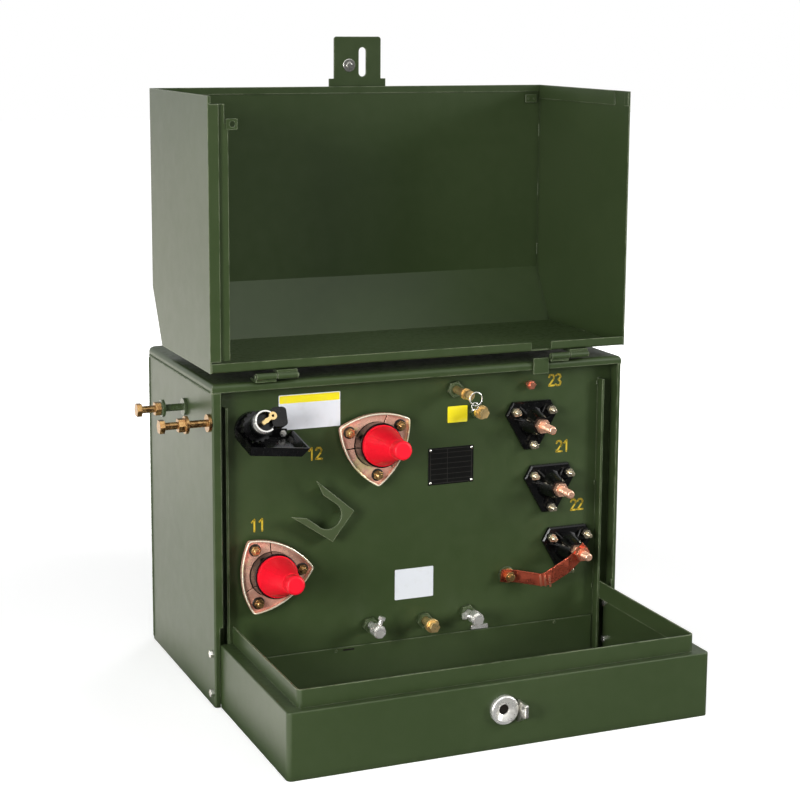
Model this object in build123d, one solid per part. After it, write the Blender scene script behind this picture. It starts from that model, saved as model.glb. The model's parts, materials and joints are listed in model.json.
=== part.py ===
from build123d import *
import os
from math import cos, radians, sin, sqrt

# A single-phase pad-mounted distribution transformer with its cabinet hood swung open.
# X runs to the right as seen from the front, the front faces -Y, and Z is up from the pad.
# The origin is the middle of the tank floor's underside.

# Tank shell
tank_width = 864.0
tank_depth = 454.0
tank_height = 626.0
tank_sheet = 5.0
tank_corner_radius = 20.0
tank_front_lip = 11.0
tank_left_lip = 17.0
tank_right_lip = 8.0
tank_front_radius = 4.0
cover_skirt = 16.0
cover_edge_radius = 9.0
front_recess = 34.0
front_plate_flange = 20.0
front_plate_margin = 25.0
front_plate_flange_drop = 49.0
skirt_height = 76.0
skirt_sheet = 3.0
skirt_margin = 4.0

# Sill in front of the tank
sill_inset = 11.5
sill_depth = 381.0
sill_height = 124.0
sill_ledge_side = 24.5
sill_ledge_front = 17.0
sill_lip_rise = 33.0
sill_sheet = 3.0
sill_corner_radius = 10.0
sill_edge_radius = 2.5
sill_tab_length = 24.0
sill_tab_margin = 6.0

# Sill bolts, through the tank walls into the sill tabs
sill_bolt_radius = 4.0
sill_bolt_flats = 13.0
sill_bolt_head = 6.0
sill_bolt_setback = 14.0
sill_bolt_height_low = 26.0
sill_bolt_height_high = 104.0

# Lock on the sill's front
lock_x = -10.0
lock_drop = 43.0
lock_radius = 27.0
lock_thickness = 10.0
lock_edge = 2.0
lock_rim = 5.0
lock_floor = 3.0
lock_hole_radius = 9.5
lock_eye_offset = 30.0
lock_eye_sheet = 5.0
lock_eye_reach = 36.0
lock_eye_below = 28.0
lock_eye_above = 14.0
lock_eye_tip_below = 9.0
lock_eye_hole_radius = 6.0
lock_eye_hole_reach = 24.0
lock_eye_corner = 4.0

# Hood, as it stands open over the tank
hood_side_overhang = 3.5
hood_sill_gap = 7.0
hood_sill_lap = 7.0
hood_slope_depth = 64.0
hood_slope_height = 112.0
hood_sheet = 3.0
hood_bend_radius = 5.0
hood_gap = 22.0
hood_edge_setback = 3.0
hood_hinge_flange = 18.0
hood_flange_strip = 21.0
hood_flange_step = 7.0
hood_flange_width = 41.0
hood_flange_narrow = 34.0
hood_flange_notch = 15.0
hood_flange_shoulder = 50.0
hood_hem = 14.0
hood_right_hem = 29.0
hood_right_hem_front = 15.0
hood_right_hem_gap = 40.0

# Hood hinges
hinge_offset = 8.0
hinge_spacing_share = 0.713
hinge_length = 82.0
hinge_middle_gap = 1.5
hinge_knuckle_radius = 6.5
hinge_pin_radius = 3.0
hinge_pin_clearance = 0.05
hinge_end_clearance = 0.5
hinge_pin_head_radius = 4.5
hinge_pin_head = 2.5
hinge_leaf_sheet = 5.5
hinge_leaf_length = 24.0

# Catch clip on the tank's front edge and the notch for it in the hood's flange
catch_hinge_gap = 60.0
catch_width = 34.0
catch_sheet = 4.0
catch_drop = 8.0
catch_rise = 8.0
catch_notch_clearance = 5.0

# Hasp on the hood's free edge
hasp_offset = 19.0
hasp_width = 104.0
hasp_rise = 102.0
hasp_sheet = 4.0
hasp_lap = 34.0
hasp_foot_width = 126.0
hasp_foot_rise = 16.0
hasp_corner = 6.0
hasp_slot_width = 16.0
hasp_slot_length = 60.0
hasp_bolt_radius = 6.0
hasp_bolt_head_radius = 11.0
hasp_bolt_head = 5.0
hasp_bolt_tail = 3.0

# Lifting bolts on the tank's left side
lifting_setbacks = (16.0, 176.0)
lifting_drop = 74.0
lifting_radius = 7.0
lifting_reach = 98.0
lifting_head_flats = 24.0
lifting_head = 10.0
lifting_nut_share = 0.5
lifting_nut = 13.0
lifting_pad_radius = 17.0
lifting_pad = 6.0

# High-voltage bushing wells with their clamps and caps
hv_upper_x_share = -0.1131
hv_upper_height_share = 0.7716
hv_upper_turn = -86.5
hv_lower_x_share = -0.3603
hv_lower_height_share = 0.3933
hv_lower_turn = 3.5
hv_tilt = 7.0
hv_shank_radius = 36.0
hv_flange_radius = 50.0
hv_flange = 12.0
hv_neck_radius = 43.5
hv_neck = 34.0
hv_clamp_sheet = 4.0
hv_clamp_rim = 5.0
hv_clamp_rim_width = 3.0
hv_clamp_slit = 2.5
hv_upper_slit_turn = -27.0
hv_lower_slit_turn = 28.0
hv_clamp_corner_radius = 8.0
hv_corner_circle_radius = 75.0
hv_bolt_circle_radius = 61.0
hv_clamp_side_radius = 150.0
hv_clamp_clearance = 1.0
hv_cap_radius = 40.0
hv_cap_rim = 8.0
hv_cap_shoulder_radius = 38.5
hv_cap_step_radius = 19.2
hv_cap_tip_radius = 18.4
hv_cap_cone = 84.0
hv_cap_length = 110.0
hv_cap_round = 6.0
hv_bolt_radius = 5.0
hv_bolt_flats = 17.0
hv_bolt_nut = 9.0
hv_bolt_tail = 9.0

# Low-voltage bushings on a slanting row
lv_last_x_share = 0.3831
lv_middle_height_share = 0.584
lv_step_x = 43.2
lv_step_height = -133.8
lv_count = 3
lv_shank_radius = 25.0
lv_thickness = 10.0
lv_corner_reach = 57.0
lv_corner_half = 15.0
lv_edge = 2.5
lv_bolt_circle_radius = 46.0
lv_boss_radius = 30.0
lv_boss_tip_radius = 18.0
lv_boss = 41.0
lv_bolt_pad_radius = 9.5
lv_bolt_pad = 3.0
lv_bolt_radius = 4.0
lv_bolt_flats = 16.0
lv_bolt_nut = 8.0
lv_bolt_tail = 14.0
lv_stud_radius = 8.0
lv_stud_length = 51.0
lv_stud_chamfer = 2.0
lv_stud_nut_flats = 26.0
lv_stud_nut = 12.0

# Copper ground strap from the lowest stud to a pad on the front plate
strap_width = 25.5
strap_sheet = 3.0
strap_span = 135.0
strap_fall = 48.0
strap_dip = 9.0
strap_pad_radius = 15.0
strap_pad = 10.0
strap_end_overlap = 17.0
strap_bend_setback = 25.0
strap_bend_radius = 6.0
strap_bolt_radius = 6.0
strap_bolt_flats = 19.0
strap_bolt_nut = 9.0
strap_bolt_tail = 8.0
strap_clearance = 0.5

# Bayonet fuse holder, tilted up, and its drip tray
fuse_x_share = -0.3993
fuse_drop = 96.0
fuse_tilt = 23.0
fuse_shank_radius = 24.0
fuse_flange_radius = 34.0
fuse_flange = 10.0
fuse_nut_radius = 30.0
fuse_nut = 20.0
fuse_nut_lobes = 16
fuse_nut_lobe_radius = 3.0
fuse_barrel_radius = 23.0
fuse_barrel = 34.0
fuse_nut_reach = 34.0
fuse_ring_radius = 21.0
fuse_ring_wall = 3.0
fuse_ring = 16.0
fuse_latch_near = 12.0
fuse_latch_width = 30.0
fuse_latch_rise = 37.0
fuse_latch_lift = 6.5
fuse_latch_corner = 8.0
fuse_latch_back = 12.0
fuse_latch_front = 16.0
fuse_eye_turn = 32.0
fuse_eye_width = 7.0
fuse_eye_tail = 10.0
fuse_eye_reach = 15.0
fuse_eye_sheet = 6.0
fuse_eye_post_radius = 4.5
fuse_eye_hole_radius = 2.8
fuse_eye_head_radius = 7.5
fuse_eye_clearance = 1.0
tray_left_overhang = 33.0
tray_width = 102.0
tray_end_lean = 14.0
tray_reach = 95.0
tray_slope = 9.0
tray_roll = 6.0
tray_sheet = 3.0
tray_lip = 17.0
tray_drop = 14.0
tray_tab_width = 34.0
tray_tab_rise = 20.0

# Parking stand for an elbow
stand_x_share = -0.2315
stand_height_share = 0.5639
stand_turn = 142.5
stand_slot_radius = 27.0
stand_base_half_width = 36.5
stand_tip_half_width = 42.0
stand_back_length = 39.5
stand_arm_length = 62.0
stand_flare_length = 34.0
stand_sheet = 5.0
stand_depth = 28.0
stand_flange_length = 74.0

# Relief valve, filling plug, drain plug and ground connectors
valve_x_share = 0.088
valve_drop = 49.0
valve_boss_radius = 13.0
valve_boss = 10.0
valve_radius = 7.5
valve_flange_radius = 11.0
valve_flange = 6.0
valve_flange_reach = 50.0
valve_hex_flats = 16.0
valve_hex = 12.0
valve_disc_radius = 9.5
valve_disc = 7.0
valve_pull_radius = 13.0
valve_pull_wire = 1.5
valve_pull_right = 11.5
valve_pull_drop = 7.0
plug_x_share = 0.1435
plug_drop = 95.0
drain_x_share = 0.0162
drain_height = 111.0
drain_reach = 58.0
plug_boss_radius = 12.0
plug_boss = 10.0
plug_radius = 8.0
plug_collar_radius = 14.0
plug_collar = 8.0
plug_reach = 40.0
plug_hex_flats = 19.0
plug_hex = 12.0
connector_x_shares = (-0.1192, 0.1256)
connector_turns = (-20.0, 75.0)
connector_height = 116.0
connector_boss_radius = 12.0
connector_boss = 10.0
connector_stem_radius = 7.0
connector_body_radius = 13.0
connector_body_start = 34.0
connector_body = 20.0
connector_slot_radius = 5.5
connector_nut_flats = 19.0
connector_nut = 7.0
connector_bolt_radius = 4.5
connector_bolt_flats = 13.0
connector_bolt_head = 6.0
connector_bolt_rise = 9.0
earth_bolt_x_share = 0.2766
earth_bolt_radius = 6.0
earth_bolt_flats = 17.0
earth_bolt_head = 8.0
earth_bolt_reach = 20.0

# Data plate, left bare
data_plate_x_share = 0.081
data_plate_height_share = 0.6757
data_plate_width = 98.0
data_plate_rise = 75.0
data_plate_sheet = 1.5

# Shared clearances
seat_clearance = 0.3
overrun = 2.0

# Places worked out from the sizes above
front_y = -tank_depth / 2
rear_y = tank_depth / 2
plate_y = front_y + front_recess
wall_inner_x = tank_width / 2 - tank_sheet
flange_inner_x = wall_inner_x - front_plate_margin - tank_sheet
hinge_y = front_y - hinge_offset
hinge_z = tank_height + hood_gap / 2
sill_width = tank_width - 2 * sill_inset
sill_lip_width = sill_width - 2 * sill_ledge_side
sill_lip_depth = sill_depth - sill_ledge_front
sill_lip_height = sill_height + sill_lip_rise
sill_front_y = front_y - sill_depth
hood_width = tank_width + 2 * hood_side_overhang
hood_under_z = tank_height + hood_gap
hood_shut_edge = sill_height - hood_sill_lap
hood_top_z = 2 * hinge_z - hood_shut_edge
hood_edge_y = front_y - hood_edge_setback
hood_rear_y = front_y + sill_depth + hood_sill_gap
hinge_spacing = tank_width * hinge_spacing_share
catch_x = hinge_spacing / 2 - catch_hinge_gap
lock_height = hood_shut_edge - lock_drop
lock_eye_x = lock_x + lock_eye_offset
lock_eye_low = lock_height - lock_eye_below
lock_eye_high = lock_height + lock_eye_above
lock_eye_tip_low = lock_height - lock_eye_tip_below
hasp_x = lock_x + hasp_offset
lifting_height = tank_height - lifting_drop
hv_upper_x = tank_width * hv_upper_x_share
hv_upper_height = tank_height * hv_upper_height_share
hv_lower_x = tank_width * hv_lower_x_share
hv_lower_height = tank_height * hv_lower_height_share
fuse_x = tank_width * fuse_x_share
fuse_height = tank_height - fuse_drop
fuse_end = fuse_nut_reach + fuse_barrel

os.makedirs("parts", exist_ok=True)


def block(x, y, z):
    """Box between a low and a high limit along each axis."""
    size = Box(x[1] - x[0], y[1] - y[0], z[1] - z[0], align=(Align.MIN, Align.MIN, Align.MIN))
    return Pos(x[0], y[0], z[0]) * size


def disc(radius, low, high):
    """Cylinder about Z between two levels."""
    return Pos(0, 0, low) * Cylinder(radius, high - low, align=(Align.CENTER, Align.CENTER, Align.MIN))


def hexagon(flats, low, high):
    """Six-sided prism about Z between two levels."""
    outline = RegularPolygon(flats / 2, 6, major_radius=False)
    return Pos(0, 0, low) * extrude(outline, high - low)


def turned(*points):
    """Solid turned about Z from its half outline of (radius, level) points."""
    return revolve(Plane.XZ * make_face(Polyline(*points, close=True)), Axis.Z)


def prism(points, thickness):
    """Polygon in XY, extruded up by the thickness."""
    return extrude(make_face(Polyline(*points, close=True)), thickness)


def on_plate(x, height, turn=0.0):
    """Place on the front plate's face: local X right, local Y up, local Z out to the front."""
    return Plane(origin=(x, plate_y, height), x_dir=(1, 0, 0), z_dir=(0, -1, 0)) * Rot(0, 0, turn)


def along_x(x, y, z, side):
    """Place with its local Z pointing out along X, to the right for side 1 and the left for -1."""
    return Plane(origin=(x, y, z), x_dir=(0, 1, 0), z_dir=(side, 0, 0))


def around(count, radius, start=0.0):
    """Places evenly round a circle in XY."""
    turns = [radians(start + 360.0 * i / count) for i in range(count)]
    return [Pos(radius * cos(turn), radius * sin(turn), 0) for turn in turns]


def stud_and_nut(radius, flats, seat, nut, tail):
    """Threaded stud from the plate's face with a nut on its seat, tail standing past the nut."""
    return disc(radius, 0, seat + nut + tail) + hexagon(flats, seat, seat + nut)


def many(pieces):
    """Solids that don't touch, kept together as one node."""
    return Compound(children=list(pieces))


# Tank
def tank_outline(inset):
    """Plan of the tank, square at the front and rounded at the rear, drawn in by an inset."""
    plan = Rectangle(tank_width - 2 * inset, tank_depth - 2 * inset)
    rear = [v for v in plan.vertices() if v.Y > 0]
    return fillet(rear, tank_corner_radius - inset)


def tank_shell():
    """Side and rear walls as one wrapped sheet, with front lips that change width above the sill."""
    height = tank_height - cover_skirt
    half = tank_width / 2
    lip_x = half - tank_front_lip
    sheet = (front_y, front_y + tank_sheet)
    wall = extrude(tank_outline(0), height) - extrude(tank_outline(tank_sheet), height)
    wall -= block((-lip_x, lip_x), sheet, (0, sill_lip_height))
    wall -= block((tank_left_lip - half, half - tank_right_lip), sheet, (sill_lip_height, height))
    corners = [e for e in wall.edges().filter_by(Axis.Z)
               if abs(e.center().Y - front_y) < seat_clearance and abs(e.center().X) > half - seat_clearance]
    return fillet(corners, tank_front_radius)


def tank_walls():
    """The wrapped sheet parted at its two rear welds, with holes for the sill bolts in the sides."""
    shell = tank_shell()
    weld_y = rear_y - tank_corner_radius
    half = tank_width / 2
    rear = shell & block((-half, half), (weld_y, rear_y), (0, tank_height))
    sides = []
    for side in (-1, 1):
        span = (-half, 0) if side < 0 else (0, half)
        wall = shell & block(span, (front_y, weld_y), (0, tank_height))
        for height in (sill_bolt_height_low, sill_bolt_height_high):
            hole = disc(sill_bolt_radius + seat_clearance, -tank_sheet - overrun, overrun)
            wall -= along_x(side * half, front_y + sill_bolt_setback, height, side) * hole
        sides.append(wall)
    return sides[0], sides[1], rear


def tank_cover():
    """Pressed cover, a shallow pan turned down all round."""
    base = tank_height - cover_skirt
    pan = Pos(0, 0, base) * extrude(tank_outline(0), cover_skirt)
    pan = fillet(pan.faces().sort_by(Axis.Z)[-1].edges(), cover_edge_radius)
    hollow = extrude(tank_outline(tank_sheet), cover_skirt - tank_sheet + overrun)
    return pan - Pos(0, 0, base - overrun) * hollow


def tank_floor():
    """Floor plate between the walls, from the front plate back to the rear wall."""
    plate = extrude(tank_outline(tank_sheet), tank_sheet)
    return plate - block((-tank_width, tank_width), (front_y, plate_y), (-overrun, tank_sheet + overrun))


def plate_holes():
    """Places and radii of the holes that the bushings and the fuse holder pass through."""
    holes = [(hv_upper_x, hv_upper_height, hv_shank_radius), (hv_lower_x, hv_lower_height, hv_shank_radius)]
    holes += [(x, height, lv_shank_radius) for x, height in lv_places()]
    holes.append((fuse_x, fuse_height, fuse_shank_radius))
    return holes


def front_plate():
    """Recessed front plate with a strip standing forward near each wall and a hole for each bushing."""
    top = tank_height - tank_sheet
    plate = block((-wall_inner_x, wall_inner_x), (plate_y, plate_y + tank_sheet), (tank_sheet, top))
    for side in (-1, 1):
        edge = sorted((side * flange_inner_x, side * (flange_inner_x + tank_sheet)))
        plate += block(edge, (plate_y - front_plate_flange, plate_y),
                       (tank_sheet, tank_height - front_plate_flange_drop))
    for x, height, radius in plate_holes():
        plate -= on_plate(x, height) * disc(radius + seat_clearance, -tank_sheet - overrun, overrun)
    return plate


def lower_skirt():
    """Lapped strip across the foot of the front plate, standing on the pad."""
    half = flange_inner_x - skirt_margin
    return block((-half, half), (plate_y - skirt_sheet, plate_y), (0, skirt_height))


def core_and_oil():
    """The filled inside of the sealed tank as one mass behind the front plate."""
    top = tank_height - tank_sheet
    mass = Pos(0, 0, tank_sheet) * extrude(tank_outline(tank_sheet), top - tank_sheet)
    ahead = block((-tank_width, tank_width), (front_y, plate_y + tank_sheet), (0, tank_height))
    return mass - ahead


# Sill
def sill_plan(width, depth, radius):
    """Plan of one sill ring, open towards the tank, with rounded front corners."""
    plan = Pos(0, front_y - depth / 2) * Rectangle(width, depth)
    ahead = [v for v in plan.vertices() if v.Y < front_y - depth / 2]
    return fillet(ahead, radius)


def sill_ring(width, depth, inner_width, inner_depth, radius, low, high):
    """Upright or flat ring of the sill between two levels."""
    drawn_in = (width - inner_width) / 2
    outer = sill_plan(width, depth, radius)
    inner = sill_plan(inner_width, inner_depth, max(radius - drawn_in, sill_sheet))
    return Pos(0, 0, low) * (extrude(outer, high - low) - extrude(inner, high - low))


def sill():
    """Bent sill: an upright wall, a ledge and an inner lip, with tabs that reach into the tank's recess."""
    lip_width = sill_lip_width - 2 * sill_sheet
    lip_depth = sill_lip_depth - sill_sheet
    wall = sill_ring(sill_width, sill_depth, sill_width - 2 * sill_sheet, sill_depth - sill_sheet,
                     sill_corner_radius, 0, sill_height)
    ledge = sill_ring(sill_width, sill_depth, lip_width, lip_depth, sill_corner_radius,
                      sill_height - sill_sheet, sill_height)
    lip = sill_ring(sill_lip_width, sill_lip_depth, lip_width, lip_depth, sill_corner_radius,
                    sill_height - sill_sheet, sill_lip_height)
    body = wall + ledge + lip
    outer = [e for e in body.edges() if abs(e.center().Z - sill_height) < seat_clearance
             and (abs(e.center().X) > sill_lip_width / 2 + sill_sheet
                  or e.center().Y < front_y - sill_lip_depth - sill_sheet)
             and e.center().Y < front_y - seat_clearance]
    body = fillet(outer, sill_edge_radius)
    for side in (-1, 1):
        edge = sorted((side * sill_width / 2, side * (sill_width / 2 - sill_sheet)))
        tab = block(edge, (front_y, front_y + sill_tab_length),
                    (sill_tab_margin, sill_height - sill_tab_margin))
        for height in (sill_bolt_height_low, sill_bolt_height_high):
            hole = disc(sill_bolt_radius + seat_clearance, -sill_sheet - overrun, overrun)
            tab -= along_x(side * sill_width / 2, front_y + sill_bolt_setback, height, side) * hole
        body += tab
    return body


def sill_bolts():
    """Four bolts through the tank walls, each with a nut behind the sill tab."""
    gap = (tank_width - sill_width) / 2 + sill_sheet
    bolt = hexagon(sill_bolt_flats, 0, sill_bolt_head)
    bolt += disc(sill_bolt_radius, -gap - sill_bolt_head, 0)
    bolt += hexagon(sill_bolt_flats, -gap - sill_bolt_head, -gap)
    places = [along_x(side * tank_width / 2, front_y + sill_bolt_setback, height, side)
              for side in (-1, 1) for height in (sill_bolt_height_low, sill_bolt_height_high)]
    return many(place * bolt for place in places)


def on_sill(x, height):
    """Place on the sill's front face, with its local Z out to the front."""
    return Plane(origin=(x, sill_front_y, height), x_dir=(1, 0, 0), z_dir=(0, -1, 0))


def lock_disc():
    """Round lock cup, dished down to the hole for the hasp's bolt."""
    inner = lock_radius - lock_rim
    cup = turned((lock_hole_radius, 0), (lock_radius, 0), (lock_radius, lock_thickness - lock_edge),
                 (lock_radius - lock_edge, lock_thickness), (inner, lock_thickness),
                 (lock_hole_radius, lock_floor))
    eye = Pos(lock_eye_x - lock_x, 0, 0) * block((-lock_eye_sheet / 2 - seat_clearance, lock_radius),
                                                 (-lock_radius, lock_radius), (-overrun, lock_radius))
    return on_sill(lock_x, lock_height) * (cup - eye)


def lock_eye():
    """Padlock eye standing out of the sill, cut away below so that the hasp can swing past it."""
    points = [(0, lock_eye_low), (lock_eye_reach, lock_eye_tip_low), (lock_eye_reach, lock_eye_high),
              (0, lock_eye_high)]
    plate = make_face(Polyline(*points, close=True))
    tips = [v for v in plate.vertices() if v.X > 0]
    plate = fillet(tips, lock_eye_corner)
    middle = (lock_eye_tip_low + lock_eye_high) / 2
    plate -= Pos(lock_eye_hole_reach, middle) * Circle(lock_eye_hole_radius)
    place = Plane(origin=(lock_eye_x, sill_front_y, 0), x_dir=(0, -1, 0), z_dir=(-1, 0, 0))
    return place * extrude(plate, lock_eye_sheet / 2, both=True)


# Hood
def hood_outline():
    """Outer bends of the hood's wrapped sheet in YZ, from its hinge edge round to its free edge."""
    return [(hood_edge_y, hood_under_z), (hood_rear_y - hood_slope_depth, hood_under_z),
            (hood_rear_y, hood_under_z + hood_slope_height), (hood_rear_y, hood_top_z)]


def hood_wrapper():
    """Top, slope and front of the hood as one bent sheet, with a turned hinge flange and a hemmed edge."""
    bends = [(hood_edge_y, hood_under_z + hood_hinge_flange)] + hood_outline()
    line = FilletPolyline(*bends, radius=hood_bend_radius)
    section = Plane.YZ * make_face(offset(line, hood_sheet, side=Side.LEFT))
    half = hood_width / 2 - hood_sheet
    sheet = extrude(section, half, both=True)
    sheet += block((-half, half), (hood_rear_y - 2 * hood_sheet, hood_rear_y - hood_sheet),
                   (hood_top_z - hood_hem, hood_top_z))
    notch = catch_width / 2 + catch_notch_clearance
    sheet -= block((catch_x - notch, catch_x + notch),
                   (hood_edge_y - overrun, hood_edge_y + hood_sheet + overrun),
                   (hood_under_z - overrun, hood_under_z + hood_hinge_flange + overrun))
    return sheet


def hood_panel(side):
    """Flat side of the hood."""
    outline = hood_outline() + [(hood_edge_y, hood_top_z)]
    panel = extrude(Plane.YZ * make_face(Polyline(*outline, close=True)), -side * hood_sheet)
    return Pos(side * hood_width / 2, 0, 0) * panel


def hood_left_side():
    """Left side with a stepped flange along its hinge side, narrowed for the sill, and a hemmed edge."""
    outer = -hood_width / 2
    inner = outer + hood_sheet
    step = outer + hood_flange_strip
    low = hood_under_z + hood_hinge_flange + hood_sheet
    high = hood_top_z - hood_flange_notch
    front = (hood_edge_y, hood_edge_y + hood_sheet)
    back = (hood_edge_y + hood_flange_step, hood_edge_y + hood_flange_step + hood_sheet)
    panel = hood_panel(-1) + block((inner, step), front, (low, high))
    panel += block((step - hood_sheet, step), (front[0], back[1]), (low, high))
    panel += block((step - hood_sheet, outer + hood_flange_narrow), back, (low, high))
    panel += block((step, outer + hood_flange_width), back, (low, hood_top_z - hood_flange_shoulder))
    hem = (hood_edge_y, hood_rear_y - 2 * hood_sheet)
    return panel + block((inner, inner + hood_sheet), hem, (hood_top_z - hood_hem, hood_top_z))


def hood_right_side():
    """Right side with a broad hem along its free edge, parted near the hinge side."""
    inner = hood_width / 2 - hood_sheet
    front = hood_edge_y + hood_right_hem_front
    hem = block((inner - hood_sheet, inner), (hood_edge_y, hood_rear_y - 2 * hood_sheet),
                (hood_top_z - hood_right_hem, hood_top_z))
    hem -= block((inner - hood_sheet, inner), (front, front + hood_right_hem_gap),
                 (hood_top_z - hood_right_hem, hood_top_z))
    return hood_panel(1) + hem


def on_hinge():
    """Place on the hinge's line, with its local Z along X."""
    return Plane(origin=(0, hinge_y, hinge_z), x_dir=(0, 1, 0), z_dir=(1, 0, 0))


def knuckle(low, high):
    """Half barrel of a hinge about the pin's line, between two places along X."""
    bore = hinge_pin_radius + hinge_pin_clearance
    return on_hinge() * (disc(hinge_knuckle_radius, low, high) - disc(bore, low - overrun, high + overrun))


def tank_hinge_leaf():
    """Left half of the barrel, with its leaf welded on the cover behind it."""
    span = (-hinge_length / 2, -hinge_middle_gap / 2)
    leaf = block(span, (hinge_y, front_y + hinge_leaf_length), (tank_height, tank_height + hinge_leaf_sheet))
    return leaf + knuckle(*span)


def hood_hinge_leaf():
    """Right half of the barrel, with its leaf welded under the hood behind it."""
    span = (hinge_middle_gap / 2, hinge_length / 2)
    leaf = block(span, (hinge_y, front_y + hinge_leaf_length), (hood_under_z - hinge_leaf_sheet, hood_under_z))
    return leaf + knuckle(*span)


def hinge_pin():
    """Headed pin through both halves of the barrel."""
    end = hinge_length / 2
    pin = disc(hinge_pin_radius, -end - hinge_pin_head, end + hinge_pin_head)
    pin += disc(hinge_pin_head_radius, end + hinge_end_clearance, end + hinge_pin_head)
    pin += disc(hinge_pin_head_radius, -end - hinge_pin_head, -end - hinge_end_clearance)
    return on_hinge() * pin


def at_hinges(piece):
    """The same hinge piece at the left and the right hinge."""
    return many(Pos(side * hinge_spacing / 2, 0, 0) * piece for side in (-1, 1))


def hood_catch():
    """Square clip on the cover's front edge, opposite the notch in the hood's flange."""
    low = tank_height - cover_skirt - catch_drop
    half = catch_width / 2
    return block((catch_x - half, catch_x + half), (front_y - catch_sheet, front_y),
                 (low, tank_height + catch_rise))


def hasp_slot_middle():
    """Level of the slot's middle while the hood stands open, opposite the eye when it is shut."""
    eye_middle = (lock_eye_low + lock_eye_high) / 2
    return 2 * hinge_z - eye_middle


def hasp_plate():
    """Slotted hasp on the outside of the hood's free edge, with a wide foot."""
    wide = hasp_foot_width / 2
    half = hasp_width / 2
    foot = hood_top_z + hasp_foot_rise
    top = hood_top_z + hasp_rise
    low = hood_top_z - hasp_lap
    points = [(-wide, low), (wide, low), (wide, foot), (half, foot), (half, top), (-half, top),
              (-half, foot), (-wide, foot)]
    plate = make_face(Polyline(*points, close=True))
    plate = fillet([v for v in plate.vertices() if v.Y > foot + seat_clearance], hasp_corner)
    slot = Rot(0, 0, 90) * SlotOverall(hasp_slot_length, hasp_slot_width)
    plate -= Pos(lock_eye_x - hasp_x, hasp_slot_middle()) * slot
    plate -= Pos(lock_x - hasp_x, 2 * hinge_z - lock_height) * Circle(hasp_bolt_radius + seat_clearance)
    place = Plane(origin=(hasp_x, hood_rear_y + hasp_sheet, 0), x_dir=(1, 0, 0), z_dir=(0, -1, 0))
    return place * extrude(plate, hasp_sheet)


def hasp_bolt():
    """Captive bolt drawn back in the hasp, its head on the outer side of the shut hood."""
    place = Plane(origin=(lock_x, hood_rear_y + hasp_sheet, 2 * hinge_z - lock_height),
                  x_dir=(1, 0, 0), z_dir=(0, 1, 0))
    bolt = disc(hasp_bolt_radius, -hasp_sheet - hasp_bolt_tail, hasp_bolt_head)
    return place * (bolt + disc(hasp_bolt_head_radius, 0, hasp_bolt_head))


# Lifting bolts
def lifting_bolts():
    """Long bolts standing out of the left wall, each with a pad at the wall, a washer and a nut midway."""
    nut = lifting_reach * lifting_nut_share
    bolt = disc(lifting_radius, 0, lifting_reach) + disc(lifting_pad_radius, 0, lifting_pad)
    bolt += hexagon(lifting_head_flats, lifting_reach - lifting_head, lifting_reach)
    bolt += disc(lifting_pad_radius, nut - lifting_pad, nut)
    bolt += hexagon(lifting_head_flats, nut, nut + lifting_nut)
    return many(along_x(-tank_width / 2, front_y + setback, lifting_height, -1) * bolt
                for setback in lifting_setbacks)


# High-voltage bushings
def hv_axis():
    """The well's line, tilted up from the middle of the clamp's thickness."""
    return Pos(0, 0, hv_flange + hv_clamp_sheet / 2) * Rot(-hv_tilt, 0, 0)


def hv_well():
    """Moulded well: a shank through the plate, a broad flange and the tilted neck that the clamp holds."""
    base = disc(hv_shank_radius, -tank_sheet, 0) + disc(hv_flange_radius, 0, hv_flange)
    return base + hv_axis() * disc(hv_neck_radius, -hv_clamp_sheet, hv_neck)


def polar(radius, turn):
    """Point in XY at a radius and a turn in degrees."""
    return Vector(radius * cos(radians(turn)), radius * sin(radians(turn)))


def hv_side_setback():
    """How far the centre of a bowed side's arc lies behind the clamp's middle."""
    reach = hv_clamp_side_radius - hv_clamp_corner_radius
    half_chord = hv_corner_circle_radius * sin(radians(60))
    return sqrt(reach ** 2 - half_chord ** 2) - hv_corner_circle_radius * cos(radians(60))


def hv_clamp_outline():
    """Three bowed sides, each an arc that runs smoothly into the rounded corners."""
    setback = hv_side_setback()

    def meeting(corner_turn, side_turn):
        """Point where a side's arc runs into a corner's arc."""
        centre = polar(-setback, side_turn)
        way = polar(hv_corner_circle_radius, corner_turn) - centre
        return centre + way.normalized() * hv_clamp_side_radius

    arcs = []
    for turn in (0, 120, 240):
        tip = polar(hv_corner_circle_radius + hv_clamp_corner_radius, turn)
        middle = polar(hv_clamp_side_radius - setback, turn + 60)
        leave = meeting(turn, turn + 60)
        arcs.append(ThreePointArc(meeting(turn, turn - 60), tip, leave))
        arcs.append(ThreePointArc(leave, middle, meeting(turn + 120, turn + 60)))
    return make_face(arcs)


def hv_clamp(slit_turn):
    """Pressed three-cornered clamp with bowed sides, a raised rim and a slit across each side."""
    corners = around(3, hv_bolt_circle_radius)
    outline = hv_clamp_outline()
    opening = Circle(hv_neck_radius + hv_clamp_clearance)
    holes = [place * Circle(hv_bolt_radius + seat_clearance) for place in corners]
    face = extrude(outline - opening - holes, hv_clamp_sheet)
    rim = extrude(outline - offset(outline, -hv_clamp_rim_width), hv_clamp_sheet + hv_clamp_rim)
    half = hv_clamp_slit / 2
    slit = block((hv_neck_radius, hv_corner_circle_radius), (-half, half), (-overrun, hv_clamp_sheet + overrun))
    for turn in (60, 180, 300):
        face -= Rot(0, 0, turn + slit_turn) * slit
    return Pos(0, 0, hv_flange) * (face + rim)


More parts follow.
